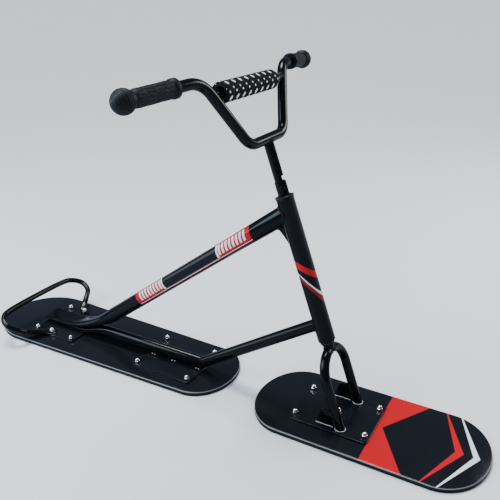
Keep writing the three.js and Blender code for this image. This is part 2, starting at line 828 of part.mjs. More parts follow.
add(
  headGroup,
  "retaining_ring",
  pipe(
    retainingRingDiameter / 2,
    steererRadius + seam,
    headLength + seam,
    headLength + seam + retainingRingThickness,
    fineSides,
  ),
  paints.zinc,
);

// Handlebar post: slides in the steerer, notched in front, coped under the bar
function barPoints(pastBall) {
  const run = gripEndHalfSpacing - barShoulderHalfSpacing;
  const gripSlope = (gripSetback - barShoulderSetback) / run;
  const endY = gripEndHalfSpacing + pastBall;
  const endX = -gripSetback - gripSlope * pastBall;
  const corners = [-1, 1].map((hand) => [
    new THREE.Vector3(endX, hand * endY, shoulderHeight),
    new THREE.Vector3(-barShoulderSetback, hand * barShoulderHalfSpacing, shoulderHeight),
    new THREE.Vector3(0, hand * barFootHalfSpacing, barHeight),
  ]);
  const route = [...corners[0], ...corners[1].reverse()];
  return bentRoute(route, route.map(() => barBendRadius), 4);
}

function barTube(radius, wall) {
  return tubeThrough(stationsAlong(barPoints(barEndPastBall), radius), wall);
}

function makePost() {
  const bottom = steererTop - postInsert;
  const notchBottom = steererTop + postNotchAbove;
  const tube = pipe(barRadius, barRadius - barWall, bottom, barHeight, fineSides);
  const notchTop = notchBottom + postNotchHeight;
  const notch = block(barDiameter, barDiameter + overrun, notchBottom, notchTop).translate(
    barDiameter - postNotchDepth,
    0,
    0,
  );
  return cut(tube, barTube(barRadius + seam, 0), notch);
}

add(headGroup, "handlebar_post", makePost(), paints.frame);

// Lock screw: stands in the steerer's slot and presses on the post, which holds its height
function makeLockScrew() {
  const under = steererRadius + seam;
  const tip = barRadius + seam;
  return turned(
    [
      [0, tip],
      [lockScrewDiameter / 2, tip],
      [lockScrewDiameter / 2, under],
      [lockScrewHeadDiameter / 2, under],
      [lockScrewHeadDiameter / 2, under + lockScrewHeadHeight / 2],
      [lockScrewHeadDiameter / 4, under + lockScrewHeadHeight],
      [0, under + lockScrewHeadHeight],
    ],
    boltSides,
  );
}

const lockScrewGroup = new THREE.Group();
lockScrewGroup.rotation.z = THREE.MathUtils.degToRad(lockScrewDegrees);
lockScrewGroup.position.z = lockScrewHeight;
headGroup.add(lockScrewGroup);
add(lockScrewGroup, "lock_screw", makeLockScrew(), paints.zinc).rotation.y = Math.PI / 2;

// Handlebar and crossbar
add(headGroup, "handlebar", barTube(barRadius, barWall), paints.frame);

// The crossbar lies in the plane of the two rising legs and is coped between them.
const crossbarAhead = (-barShoulderSetback * (crossbarHeight - barHeight)) / barRise;

function makeCrossbar() {
  const reach = barShoulderHalfSpacing;
  const tube = pipe(crossbarDiameter / 2, crossbarDiameter / 2 - tubeWall, -reach, reach)
    .rotateX(Math.PI / 2)
    .translate(crossbarAhead, 0, crossbarHeight);
  const pieces = solidOf(tube).subtract(solidOf(barTube(barRadius + seam, 0))).decompose();
  const middle = pieces.reduce((best, piece) => (piece.volume() > best.volume() ? piece : best));
  return geometryOf(middle);
}

add(headGroup, "crossbar", makeCrossbar(), paints.frame);

// Crossbar pad: a foam roll in a net sleeve
const padMiddle = (padLeftEnd - padRightEnd) / 2;
const padLength = padLeftEnd + padRightEnd;
const foamRadius = padDiameter / 2 - padCoverThickness - seam;

function roll(radius, bore, length, edge) {
  return turned([
    [radius - edge, -length / 2],
    [radius - edge * (1 - Math.SQRT1_2), edge * (1 - Math.SQRT1_2) - length / 2],
    [radius, edge - length / 2],
    [radius, length / 2 - edge],
    [radius - edge * (1 - Math.SQRT1_2), length / 2 - edge * (1 - Math.SQRT1_2)],
    [radius - edge, length / 2],
    [bore, length / 2],
    [bore, -length / 2],
  ]);
}

const padGroup = new THREE.Group();
padGroup.position.set(crossbarAhead, padMiddle, crossbarHeight);
padGroup.rotation.x = Math.PI / 2;
headGroup.add(padGroup);
const foamRoll = roll(foamRadius, crossbarDiameter / 2 + seam, padLength - padEdge, padEdge / 2);
const coverRoll = roll(padDiameter / 2, foamRadius + seam, padLength, padCoverThickness / 2);
add(padGroup, "pad_foam", foamRoll, paints.foam);
add(padGroup, "pad_cover", coverRoll, paints.net);

// Grips: ribbed rubber with an inner flange and a round end
function makeGrip() {
  const flange = gripFlangeHalfSpacing;
  const run = gripEndHalfSpacing - barShoulderHalfSpacing;
  const slope = Math.hypot(run, gripSetback - barShoulderSetback) / run;
  const length = (gripEndHalfSpacing - flange) * slope;
  const body = gripDiameter / 2;
  const ball = gripBallDiameter / 2;
  const neck = gripNeckDiameter / 2;
  const bore = barRadius + seam;
  const profile = [
    [bore, -length],
    [gripFlangeDiameter / 2, -length],
    [gripFlangeDiameter / 2, gripFlangeThickness - length],
    [body, gripFlangeThickness - length + seam],
    [body, -ball],
    [neck, -Math.sqrt(ball * ball - neck * neck)],
  ];
  const ballSteps = 7;
  const from = -Math.acos(neck / ball);
  for (let k = 1; k <= ballSteps; k += 1) {
    const angle = blend(from, Math.PI / 2, k / ballSteps);
    profile.push([k === ballSteps ? 0 : ball * Math.cos(angle), ball * Math.sin(angle)]);
  }
  profile.push([0, barEndPastBall + seam], [bore, barEndPastBall + seam]);
  profile.push(profile[0]);
  const points = profile.map(([radius, height]) => new THREE.Vector2(radius, height));
  return new THREE.LatheGeometry(points, roundSides).rotateX(Math.PI / 2);
}

[-1, 1].forEach((hand) => {
  const grip = add(headGroup, hand < 0 ? "right_grip" : "left_grip", makeGrip(), paints.rubber);
  const run = gripEndHalfSpacing - barShoulderHalfSpacing;
  const outward = new THREE.Vector3(barShoulderSetback - gripSetback, hand * run, 0).normalize();
  grip.position.set(-gripSetback, hand * gripEndHalfSpacing, shoulderHeight);
  grip.quaternion.setFromUnitVectors(new THREE.Vector3(0, 0, 1), outward);
});

scooter.position.x = -(rearTailX + frontNoseX) / 2;

export default scooter;
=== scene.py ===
from math import asin, atan2, copysign, cos, pi, radians, remainder, sin, sqrt, tan

import bmesh
import bpy
from mathutils import Matrix, Quaternion, Vector


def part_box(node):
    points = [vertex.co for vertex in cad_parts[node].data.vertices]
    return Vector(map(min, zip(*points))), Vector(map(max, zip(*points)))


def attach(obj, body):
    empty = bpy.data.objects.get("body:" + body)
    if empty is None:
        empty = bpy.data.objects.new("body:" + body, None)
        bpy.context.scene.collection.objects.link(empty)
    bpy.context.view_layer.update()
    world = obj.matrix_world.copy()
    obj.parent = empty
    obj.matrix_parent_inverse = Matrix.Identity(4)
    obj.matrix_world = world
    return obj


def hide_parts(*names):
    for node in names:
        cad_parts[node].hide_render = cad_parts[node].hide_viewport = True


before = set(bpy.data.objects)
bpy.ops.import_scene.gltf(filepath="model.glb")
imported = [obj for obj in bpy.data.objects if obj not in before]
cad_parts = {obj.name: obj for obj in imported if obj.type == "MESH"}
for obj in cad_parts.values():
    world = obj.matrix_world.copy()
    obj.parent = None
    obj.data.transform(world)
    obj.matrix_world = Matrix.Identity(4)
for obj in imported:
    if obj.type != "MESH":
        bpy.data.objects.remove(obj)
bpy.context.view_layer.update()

# Studio: a plain pale floor and room under one broad soft lamp, with three soft panels for the paint's
# highlights and a camera at the photograph's viewing angle. Floor and room look pale, but are dimmer in
# the gloss of the paint. Metres, +X forward, +Y to the rider's left, +Z up.
VIEW_TURN = radians(29.16)
VIEW_RISE = radians(23.49)
CAMERA_PLACE = (0.7587, -1.1369, 0.9466)
LENS_LENGTH = 44.4
FLOOR_SEEN = (0.8, 0.82, 0.85)
FLOOR_IN_GLOSS = (0.3, 0.33, 0.37)
ROOM_SEEN = (0.93, 0.94, 0.98)
ROOM_IN_GLOSS = (0.12, 0.15, 0.2)
PANEL_TARGET = (0, 0, 0.35)
# Each panel's place, width and height, power and colour. One stands ahead on the left, one low behind
# the tail and one high behind on the right.
SOFT_PANELS = (
    ((1.6, 1.9, 1.7), 1.2, 1.2, 34, (1, 1, 1)),
    ((-2.1, -0.9, 0.8), 1.6, 0.7, 12, (0.85, 0.93, 1)),
    ((-1.5, -1.5, 1.9), 1.5, 1.5, 60, (0.66, 0.84, 1)),
)


def aim(thing, way):
    """Turn a camera or a lamp to look a way."""
    thing.rotation_euler = way.to_track_quat("-Z", "Y").to_euler()


def add_lamp(kind, place, target, **settings):
    """Add a lamp or a soft panel, aimed from its place at a target."""
    bpy.ops.object.light_add(type=kind, location=place)
    lamp = bpy.context.object
    for name, value in settings.items():
        setattr(lamp.data, name, value)
    aim(lamp, Vector(target) - lamp.location)


def link(feed, socket):
    """Link one node's output to another's input."""
    feed.id_data.links.new(feed, socket)


def source(tree, kind, output):
    """The output of a shader node that needs no feeds."""
    return tree.nodes.new("ShaderNode" + kind).outputs[output]


def add_node(kind, feeds, **settings):
    """Add a shader node beside the nodes that feed it, and give its outputs. Feeds are sockets or plain
    values, by the name or number of their input."""
    sockets = {name: feed for name, feed in feeds.items() if isinstance(feed, bpy.types.NodeSocket)}
    node = next(iter(sockets.values())).id_data.nodes.new("ShaderNode" + kind)
    for name, value in settings.items():
        setattr(node, name, value)
    for name, feed in feeds.items():
        if name in sockets:
            link(feed, node.inputs[name])
        else:
            node.inputs[name].default_value = feed
    return node.outputs


def mix_colors(factor, first, second):
    """A colour that goes from the first to the second as the factor rises."""
    return add_node("Mix", {"Factor": factor, "A": first, "B": second}, data_type="RGBA")["Result"]


def new_material(name, color, roughness=0.5, metallic=0.0, specular=0.5):
    """A material with its Principled shader set to one finish."""
    material = bpy.data.materials.new(name)
    material.use_nodes = True
    shader = material.node_tree.nodes["Principled BSDF"]
    shader.inputs["Base Color"].default_value = (*color, 1)
    shader.inputs["Roughness"].default_value = roughness
    shader.inputs["Metallic"].default_value = metallic
    shader.inputs["Specular IOR Level"].default_value = specular
    return material, shader


bpy.ops.object.select_all(action="DESELECT")
bpy.ops.object.camera_add(location=CAMERA_PLACE)
camera = bpy.context.object
camera.data.lens = LENS_LENGTH
view_level = cos(VIEW_RISE)
view_way = (-sin(VIEW_TURN) * view_level, cos(VIEW_TURN) * view_level, -sin(VIEW_RISE))
aim(camera, Vector(view_way))
bpy.context.scene.camera = camera

floor_finish, floor_shader = new_material("studio_floor", FLOOR_SEEN, 0.9, specular=0.1)
in_gloss = source(floor_finish.node_tree, "LightPath", "Is Glossy Ray")
link(mix_colors(in_gloss, (*FLOOR_SEEN, 1), (*FLOOR_IN_GLOSS, 1)), floor_shader.inputs["Base Color"])
bpy.ops.mesh.primitive_plane_add(size=600, location=(0, 0, -0.0005))
floor = bpy.context.object
floor.name = "studio_floor"
floor.data.materials.append(floor_finish)

world = bpy.data.worlds.new("studio_room")
bpy.context.scene.world = world
world.use_nodes = True
seen = source(world.node_tree, "LightPath", "Is Camera Ray")
room_color = mix_colors(seen, (*ROOM_IN_GLOSS, 1), (*ROOM_SEEN, 1))
link(room_color, world.node_tree.nodes["Background"].inputs["Color"])

add_lamp("SUN", (-0.9, 0.5, 3), (0, 0, 0), energy=3.6, angle=radians(26))
for place, width, height, power, color in SOFT_PANELS:
    panel = {"shape": "RECTANGLE", "size": width, "size_y": height}
    add_lamp("AREA", place, PANEL_TARGET, **panel, energy=power, color=color)


# Boards: two pressed plywood boards with a printed, clear-coated top and a rounded rim, each on a
# black plastic running sole. The sole is drilled out round the heads of the bolts.
SOLE_TOP = 0.0018
SOLE_EDGE = 0.0005
BOARD_BOTTOM = 0.0021
BOARD_TOP = 0.011
BOARD_EDGE = 0.0026
HEAD_HOLE_RADIUS = 0.0106
DRILL_REACH = 0.01
REAR_BOLT_XS = (-0.5505, -0.4945, -0.4215, -0.1825, -0.0235)
REAR_BOLTS = [(x, y) for x in REAR_BOLT_XS for y in (-0.067, 0.067)]
FRONT_BOLTS = [(0.2765, -0.054), (0.2765, 0.054), (0.363, 0.0), (0.4465, -0.054), (0.4465, 0.054)]
# Each end of a board: where its curve starts, how long it is and its half width.
REAR_OUTLINE = {"tail": (-0.5785, 0.132, 0.126), "nose": (-0.0135, 0.088, 0.110)}
FRONT_OUTLINE = {"tail": (0.2585, 0.100, 0.126), "nose": (0.6055, 0.105, 0.126)}


def take(piece):
    """Make a piece the only one selected."""
    bpy.ops.object.select_all(action="DESELECT")
    piece.select_set(True)
    bpy.context.view_layer.objects.active = piece


def select_points(piece, numbers):
    """Select some of a piece's points, and go into edit mode."""
    bpy.ops.object.mode_set(mode="EDIT")
    bpy.ops.mesh.select_mode(type="VERT")
    bpy.ops.mesh.select_all(action="DESELECT")
    bpy.ops.object.mode_set(mode="OBJECT")
    for number in numbers:
        piece.data.vertices[number].select = True
    bpy.ops.object.mode_set(mode="EDIT")


def apply_modifier(piece, kind, **settings):
    """Put a modifier on a piece, set it and apply it."""
    modifier = piece.modifiers.new(kind, kind)
    for name, value in settings.items():
        setattr(modifier, name, value)
    bpy.context.view_layer.objects.active = piece
    bpy.ops.object.modifier_apply(modifier=modifier.name)


def round_edges(piece, width, segments=2, sharper_than=30):
    """Bevel the edges of a piece that are sharper than an angle in degrees."""
    limit = radians(sharper_than)
    apply_modifier(piece, "BEVEL", width=width, segments=segments, limit_method="ANGLE", angle_limit=limit)


def combine(piece, tool, operation="DIFFERENCE"):
    """Cut a tool's shape out of a piece, or join it on, and take the tool away."""
    apply_modifier(piece, "BOOLEAN", object=tool, operation=operation, solver="EXACT")
    bpy.data.objects.remove(tool)


def hang(piece, name, body, slot, material, *nodes, smooth=35):
    """Finish a piece: name it, put its place into its mesh and hang it on its body."""
    take(piece)
    bpy.ops.object.transform_apply()
    bpy.ops.object.shade_smooth_by_angle(angle=radians(smooth))
    piece.name = name
    piece.data.name = name
    piece.data.materials.clear()
    piece.data.materials.append(material)
    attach(piece, body)
    if nodes:
        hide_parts(*nodes)


def cylinder(sides, radius, bottom, top, x=0.0, y=0.0):
    """An upright cylinder between two heights."""
    middle = (x, y, (top + bottom) / 2)
    bpy.ops.mesh.primitive_cylinder_add(vertices=sides, radius=radius, depth=top - bottom, location=middle)
    return bpy.context.object


def board_blank(outline, bottom, top):
    """A disc whose two halves are drawn out into the rounded ends of a board."""
    piece = cylinder(144, 1, bottom, top)
    bpy.ops.object.transform_apply()
    halves = {"nose": [], "tail": []}
    for point in piece.data.vertices:
        halves["nose" if point.co.x > 0 else "tail"].append(point.index)
    for end, numbers in halves.items():
        start_x, length, half_width = outline[end]
        select_points(piece, numbers)
        bpy.ops.transform.resize(value=(length, half_width, 1), center_override=(0, 0, 0))
        bpy.ops.transform.translate(value=(start_x, 0, 0))
        bpy.ops.object.mode_set(mode="OBJECT")
    return piece


def math_node(operation, *feeds, clamp=False):
    """The value of a Math node."""
    return add_node("Math", dict(enumerate(feeds)), operation=operation, use_clamp=clamp)[0]


def noise_node(place, scale, detail, roughness=0.5):
    """The value of a noise at a place."""
    feeds = {"Vector": place, "Scale": scale, "Detail": detail, "Roughness": roughness}
    return add_node("TexNoise", feeds)[0]


def new_group(name, inputs, outputs):
    """A shader node group with named inputs and outputs. Place is a vector and the others are values."""
    group = bpy.data.node_groups.new(name, "ShaderNodeTree")
    for way, labels in (("INPUT", inputs), ("OUTPUT", outputs)):
        for label in labels:
            kind = "NodeSocketVector" if label == "Place" else "NodeSocketFloat"
            group.interface.new_socket(label, in_out=way, socket_type=kind)
    return group, group.nodes.new("NodeGroupInput").outputs, group.nodes.new("NodeGroupOutput").inputs


def use_group(group, *feeds):
    """The outputs of a node group, fed in the order of its inputs."""
    return add_node("Group", dict(enumerate(feeds)), node_tree=group)


# Handling leaves faint cloudy marks, and spraying or moulding a fine peel. Most finishes share both.
surface_marks, marks_in, marks_out = new_group(
    "surface_marks", ("Place", "Cloud scale", "Peel scale", "Least", "Most"), ("Roughness", "Height")
)
cloud = noise_node(marks_in["Place"], marks_in["Cloud scale"], detail=6, roughness=0.62)
peel = noise_node(marks_in["Place"], marks_in["Peel scale"], detail=2)
cloud_spread = {"Value": cloud, "From Min": 0.35, "From Max": 0.72}
cloud_spread.update({"To Min": marks_in["Least"], "To Max": marks_in["Most"]})
link(add_node("MapRange", cloud_spread)[0], marks_out["Roughness"])
link(math_node("ADD", math_node("MULTIPLY", cloud, 0.3), peel), marks_out["Height"])


def marked_material(name, color, clouds, peel, roughness, depth, metallic=0.0, specular=0.5):
    """A material whose roughness varies in clouds between two values, with a fine bump."""
    material, shader = new_material(name, color, metallic=metallic, specular=specular)
    place = source(material.node_tree, "TexCoord", "Object")
    marks = use_group(surface_marks, place, clouds, peel, *roughness)
    link(marks["Roughness"], shader.inputs["Roughness"])
    bump = {"Strength": 0.5, "Distance": depth, "Height": marks["Height"]}
    link(add_node("Bump", bump)[0], shader.inputs["Normal"])
    return material, shader, place


# A printed stripe between two edges of any running value, with a soft border.
stripe_mask, stripe_in, stripe_out = new_group("stripe_mask", ("Value", "From", "To", "Border"), ("Mask",))
past_start = math_node("SUBTRACT", stripe_in["Value"], stripe_in["From"])
before_end = math_node("SUBTRACT", stripe_in["To"], stripe_in["Value"])
inside = math_node("MINIMUM", past_start, before_end)
borders_in = math_node("DIVIDE", inside, stripe_in["Border"])
link(math_node("ADD", borders_in, 0.5, clamp=True), stripe_out["Mask"])


def stripe(value, start, end, border):
    """The mask of a stripe where a value lies between its start and end."""
    return use_group(stripe_mask, value, start, end, border)["Mask"]


def both(first, second):
    """Where two masks overlap."""
    return math_node("MULTIPLY", first, second)


def paint_over(shader, under, layers):
    """Lay printed colours and painted highlights over a plain one, each through its mask, and feed the Base
    Color.
    """
    color = (*under, 1)
    for mask, over in layers:
        color = mix_colors(mask, color, (*over, 1))
    link(color, shader.inputs["Base Color"])


BOARD_BLACK = (0.006, 0.007, 0.01)
PRINT_RED = (0.52, 0.007, 0.014)
PRINT_WHITE = (0.82, 0.84, 0.86)
# A pale grey painted highlight runs round each board's rounded rim, between the two heights below.
RIM_HIGHLIGHT_GREY = (0.26, 0.27, 0.29)
RIM_FROM, RIM_TO = 0.0087, 0.0104
TOP_FROM = 0.0098
FRONT_END = 2.0
# Each printed shape lies between a back and a front edge. An edge is its slope to the sides and its X on
# the board's middle: a red field with a notched front, then a red and a white chevron.
FRONT_PRINT = (
    ((0, 0.4575), (0.63, 0.4715), PRINT_RED),
    ((-0.37, 0.634), (-0.5, 0.653), PRINT_RED),
    ((-0.41, 0.673), (-0.5, 0.687), PRINT_WHITE),
)


def board_coat(name):
    """Black print under a gloss clear coat, with the place and height on it."""
    coat = marked_material(name, BOARD_BLACK, 7, 260, (0.1, 0.24), 0.00004, specular=0.32)
    return *coat[:2], add_node("SeparateXYZ", {0: coat[2]})


def painted_rim_highlight(axes):
    """The layer of a painted highlight: a pale line where the boards' clear coat is rounded over the rim.
    """
    return stripe(axes["Z"], RIM_FROM, RIM_TO, 0.0005), RIM_HIGHLIGHT_GREY


black_coat, black_shader, black_axes = board_coat("board_black_print")
paint_over(black_shader, BOARD_BLACK, [painted_rim_highlight(black_axes)])

red_coat, red_shader, red_axes = board_coat("board_striped_print")
off_middle = math_node("ABSOLUTE", red_axes["Y"])
on_top = stripe(red_axes["Z"], TOP_FROM, 2 * TOP_FROM, 0.0004)


def past_edge(slope, start):
    """A mask of all that lies ahead of an edge, which starts on the board's middle."""
    ahead = math_node("SUBTRACT", red_axes["X"], math_node("MULTIPLY", off_middle, slope))
    return stripe(ahead, start, FRONT_END, 0.0006)


def chevron(back, front):
    """A printed shape between two bent edges."""
    between = math_node("SUBTRACT", past_edge(*back), past_edge(*front), clamp=True)
    return both(between, on_top)


front_layers = [(chevron(back, front), color) for back, front, color in FRONT_PRINT]
paint_over(red_shader, BOARD_BLACK, front_layers + [painted_rim_highlight(red_axes)])

sole_black = marked_material("running_sole_plastic", (0.02, 0.02, 0.022), 30, 900, (0.35, 0.55), 0.00008)[0]

for side, body, outline, bolts, slot, coat in (
    ("rear", "frame", REAR_OUTLINE, REAR_BOLTS, "black_board", black_coat),
    ("front", "steering", FRONT_OUTLINE, FRONT_BOLTS, "printed_board", red_coat),
):
    sole = board_blank(outline, 0, SOLE_TOP)
    for x, y in bolts:
        combine(sole, cylinder(32, HEAD_HOLE_RADIUS, -DRILL_REACH, DRILL_REACH, x, y))
    round_edges(sole, SOLE_EDGE)
    hang(sole, side + "_running_sole", body, "running_sole", sole_black, side + "_sole")
    core = board_blank(outline, BOARD_BOTTOM, BOARD_TOP)
    round_edges(core, BOARD_EDGE, 4)
    hang(core, side + "_board_core", body, slot, coat, side + "_board")


# Mounting plates: 4 mm steel with rounded corners and rims, sprayed gloss black like the frame. Two lie
# under the frame's rail and one under the fork, each held down by the bolts of its board.
PAINT_BLACK = (0.003, 0.0038, 0.005)
PLATE_EDGE = 0.0007


def frame_paint(name, color=PAINT_BLACK, specular=0.2):
    """Gloss black paint, thick enough to round every edge, with a fine peel."""
    return marked_material(name, color, 14, 380, (0.09, 0.22), 0.00004, specular=specular)


black_paint = frame_paint("frame_gloss_black")[0]
plate_paint = frame_paint("plate_gloss_black", BOARD_BLACK, 0.34)[0]


def own_copy(piece, place=(0, 0, 0), turn=0.0):
    """A copy of a piece with its own mesh, at a place and turned about its upright."""
    placed = bpy.data.objects.new(piece.name, piece.data.copy())
    bpy.context.scene.collection.objects.link(placed)
    placed.location = place
    placed.rotation_euler = (0, 0, turn)
    return placed


def edit_mesh(**steps):
    """Run mesh operators, each with its settings, on all of the active piece."""
    bpy.ops.object.mode_set(mode="EDIT")
    bpy.ops.mesh.select_all(action="SELECT")
    for name, settings in steps.items():
        getattr(bpy.ops.mesh, name)(**settings)
    bpy.ops.object.mode_set(mode="OBJECT")


def clean_copy(node):
    """A copy of a CAD node with its loose triangles merged into clean faces."""
    piece = own_copy(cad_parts[node])
    take(piece)
    edit_mesh(remove_doubles={"threshold": 0.00001}, dissolve_limited={"angle_limit": radians(1)})
    return piece


for node, body in (("rear_plate", "frame"), ("middle_plate", "frame"), ("front_plate", "steering")):
    plate = clean_copy(node)
    round_edges(plate, PLATE_EDGE, 3)
    hang(plate, node + "_rounded", body, "frame_paint", plate_paint, node)


# Nuts and bolts: bright zinc domed nuts, pressed in one piece from a hexagon and a polished dome, on
# carriage bolts that come up from below. One nut is made, then copied to every bolt.
STEEL_BASE = 0.0156
HOOP_NUT_BASE = 0.0189
HOOP_NUTS = (3, 4)
NUT_RADIUS = 0.0075
NUT_HEIGHT = 0.005
NUT_EDGE = 0.0005
DOME_RADIUS = 0.0061
DOME_MIDDLE = 0.0052
DOME_FOOT = 0.004
NUT_TURN = 0.7
zinc = marked_material("bright_zinc", (0.78, 0.79, 0.81), 160, 1500, (0.12, 0.3), 0.00003, metallic=1.0)[0]

nut = cylinder(6, NUT_RADIUS, 0, NUT_HEIGHT)
bpy.ops.object.transform_apply()
round_edges(nut, NUT_EDGE)
bpy.ops.mesh.primitive_uv_sphere_add(
    segments=32, ring_count=16, radius=DOME_RADIUS, location=(0, 0, DOME_MIDDLE)
)
dome = bpy.context.object
bpy.ops.object.transform_apply()
foot_cut = {"plane_co": (0, 0, DOME_FOOT), "plane_no": (0, 0, 1), "use_fill": True, "clear_inner": True}
edit_mesh(bisect=foot_cut)
combine(nut, dome, "UNION")
for side, body, bolts in (("rear", "frame", REAR_BOLTS), ("front", "steering", FRONT_BOLTS)):
    for number, (x, y) in enumerate(bolts, 1):
        seat = HOOP_NUT_BASE if side == "rear" and number in HOOP_NUTS else STEEL_BASE
        placed = own_copy(nut, (x, y, seat), NUT_TURN * number)
        hang(placed, f"{side}_domed_nut_{number}", body, "zinc_hardware", zinc, f"{side}_nut_{number}")
        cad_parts[f"{side}_bolt_{number}"].data.materials[0] = zinc
bpy.data.objects.remove(nut)


# Foot hoop: one steel bar bent round the tail, its two ends pressed into flat lugs that share a pair
# of the board's bolts. The tube helper below draws every bent or pressed tube of the scooter.
HOOP_RADIUS = 0.008
LUG_HALF_WIDTH = 0.0115
LUG_HALF_THICKNESS = 0.0015
HOOP_STEPS = 12
ROUND = 2
LUG_SQUARE = 4
# The bar is round from the fourth point on, counted from its end, and all flat before the second.
ROUND_FROM, FLAT_UNTIL = 4.1, 1.7
HOOP_HALF = (
    (-0.4855, 0.0600, 0.0171), (-0.4945, 0.0670, 0.0171), (-0.5061, 0.0760, 0.0171),
    (-0.5189, 0.0912, 0.0238), (-0.5345, 0.1180, 0.0301), (-0.5495, 0.1439, 0.0461),
    (-0.5785, 0.1520, 0.0601), (-0.6035, 0.1360, 0.0691), (-0.6125, 0.1031, 0.0741),
)
HOOP_BACK = (-0.6105, 0, 0.0781)


def drawn_tube(sections, sides=32, closed_ends=True):
    """A ring drawn out from section to section. Each section is its middle, the directions of its
    width and height, its half sizes along them and how square it is: 2 is an ellipse."""
    bpy.ops.object.select_all(action="DESELECT")
    bpy.ops.mesh.primitive_circle_add(vertices=sides, fill_type="NGON" if closed_ends else "NOTHING")
    piece = bpy.context.object
    bpy.ops.object.mode_set(mode="EDIT")
    bpy.ops.mesh.select_mode(type="VERT")
    bpy.ops.mesh.select_all(action="SELECT")
    ring_mesh = bmesh.from_edit_mesh(piece.data)
    turn = ring_mesh.verts.layers.int.new("turn")
    for number, point in enumerate(ring_mesh.verts):
        point[turn] = number
    bmesh.update_edit_mesh(piece.data)
    for number, (middle, side, up, half_width, half_height, square) in enumerate(sections):
        if number:
            bpy.ops.mesh.extrude_region_move()
        ring_mesh = bmesh.from_edit_mesh(piece.data)
        turn = ring_mesh.verts.layers.int["turn"]
        for point in ring_mesh.verts:
            if point.select:
                angle = 2 * pi * point[turn] / sides
                across, over = cos(angle), sin(angle)
                across = copysign(abs(across) ** (2 / square), across)
                over = copysign(abs(over) ** (2 / square), over)
                point.co = middle + side * (half_width * across) + up * (half_height * over)
        bmesh.update_edit_mesh(piece.data)
    edit_mesh(normals_make_consistent={"inside": False})
    return piece


def heading(line, number):
    """The direction of a line of points at one of them."""
    return (line[min(number + 1, len(line) - 1)] - line[max(number - 1, 0)]).normalized()


def blend(start, end, share):
    """A value part of the way from start to end."""
    return start + (end - start) * share


def even_steps(start, end, count):
    """The values at even steps from start to end."""
    return [blend(start, end, step / count) for step in range(count + 1)]


def rise(value, start, end):
    """A share that goes gently from 0 at the start to 1 at the end."""
    share = min(max((value - start) / (end - start), 0), 1)
    return share * share * (3 - 2 * share)


def flowing_line(points, steps):
    """A smooth line through points, at even steps between each two."""
    line = []
    for number in range(len(points) - 1):
        before = points[max(number - 1, 0)]
        start, end = points[number], points[number + 1]
        after = points[min(number + 2, len(points) - 1)]
        bend = 2 * before - 5 * start + 4 * end - after
        twist = 3 * start - before - 3 * end + after
        for step in range(steps):
            t = step / steps
            line.append(0.5 * (2 * start + (end - before) * t + bend * t**2 + twist * t**3))
    return line + [points[-1]]


def hang_painted(piece, name, body, *nodes, smooth=50):
    """Finish a piece in the frame's black paint."""
    hang(piece, name, body, "frame_paint", black_paint, *nodes, smooth=smooth)


hoop_points = [Vector((x, -y, z)) for x, y, z in HOOP_HALF] + [Vector(HOOP_BACK)]
hoop_points += [Vector(point) for point in reversed(HOOP_HALF)]
hoop_line = flowing_line(hoop_points, HOOP_STEPS)
hoop_sections = []
for number, middle in enumerate(hoop_line):
    from_end = min(number, len(hoop_line) - 1 - number) / HOOP_STEPS
    flat = rise(from_end, ROUND_FROM, FLAT_UNTIL)
    ahead = heading(hoop_line, number)
    side = Vector((0, 0, 1)).cross(ahead).normalized()
    half_width = blend(HOOP_RADIUS, LUG_HALF_WIDTH, flat)
    half_height = blend(HOOP_RADIUS, LUG_HALF_THICKNESS, flat)
    middle.z = max(middle.z, STEEL_BASE + half_height)
    square = blend(ROUND, LUG_SQUARE, flat**2)
    hoop_sections.append((middle, side, ahead.cross(side), half_width, half_height, square))
hang_painted(drawn_tube(hoop_sections), "foot_hoop_bar", "frame", "foot_hoop")


# Rail and lower tube: a 28.6 mm tube lies along the board, pressed flat towards the tail, and is
# mitred and welded to the tube that rises to the head tube.
HEAD_FOOT = Vector((0.3265, 0, 0.1954))
RAKE = radians(19.65)
LEFT = Vector((0, 1, 0))
LOWER_RADIUS = 0.0143
LOWER_ANGLE = radians(32.9)
LOWER_MEETS_HEAD = 0.049
RAIL_HEIGHT = 0.0299
RAIL_TIP_X = -0.5586
RAIL_FLAT_X = -0.4336
RAIL_ROUND_X = -0.3386
RAIL_FLAT_HALF = (0.0215, 0.0045)
RAIL_SQUARE = 3.5
RAIL_STEPS = 14
PRESSED_EDGE = 0.0008
MITRE_X = -0.0171
MITRE_GAP = 0.0003
MITRE_TILT = LOWER_ANGLE / 2
MITRE_HALF = (LOWER_RADIUS, LOWER_RADIUS / cos(MITRE_TILT))
on_head = Matrix.Translation(HEAD_FOOT) @ Matrix.Rotation(-RAKE, 4, "Y")


def head_point(ahead, left, height):
    """A point given in the head tube's own directions, from the foot of its axis."""
    return on_head @ Vector((ahead, left, height))


def tilted(angle):
    """The directions along and across a frame tube that rises forward at an angle."""
    return Vector((cos(angle), 0, sin(angle))), Vector((-sin(angle), 0, cos(angle)))


def level_section(x, z, tilt, half_width, half_height, square=ROUND):
    """A section of a tube in the scooter's middle plane, tilted back from upright."""
    return Vector((x, 0, z)), LEFT, tilted(tilt)[1], half_width, half_height, square


rail_sections = []
for x in [RAIL_TIP_X] + even_steps(RAIL_FLAT_X, RAIL_ROUND_X, RAIL_STEPS):
    opened = rise(x, RAIL_FLAT_X, RAIL_ROUND_X)
    half_width = blend(RAIL_FLAT_HALF[0], LOWER_RADIUS, opened)
    half_height = blend(RAIL_FLAT_HALF[1], LOWER_RADIUS, opened)
    square = blend(RAIL_SQUARE, ROUND, opened)
    rail_sections.append(level_section(x, STEEL_BASE + half_height, 0, half_width, half_height, square))
rail_sections.append(level_section(MITRE_X, RAIL_HEIGHT, MITRE_TILT, *MITRE_HALF))
rail = drawn_tube(rail_sections, 40)
round_edges(rail, PRESSED_EDGE, sharper_than=50)
hang_painted(rail, "rail_tube", "frame", "rail")

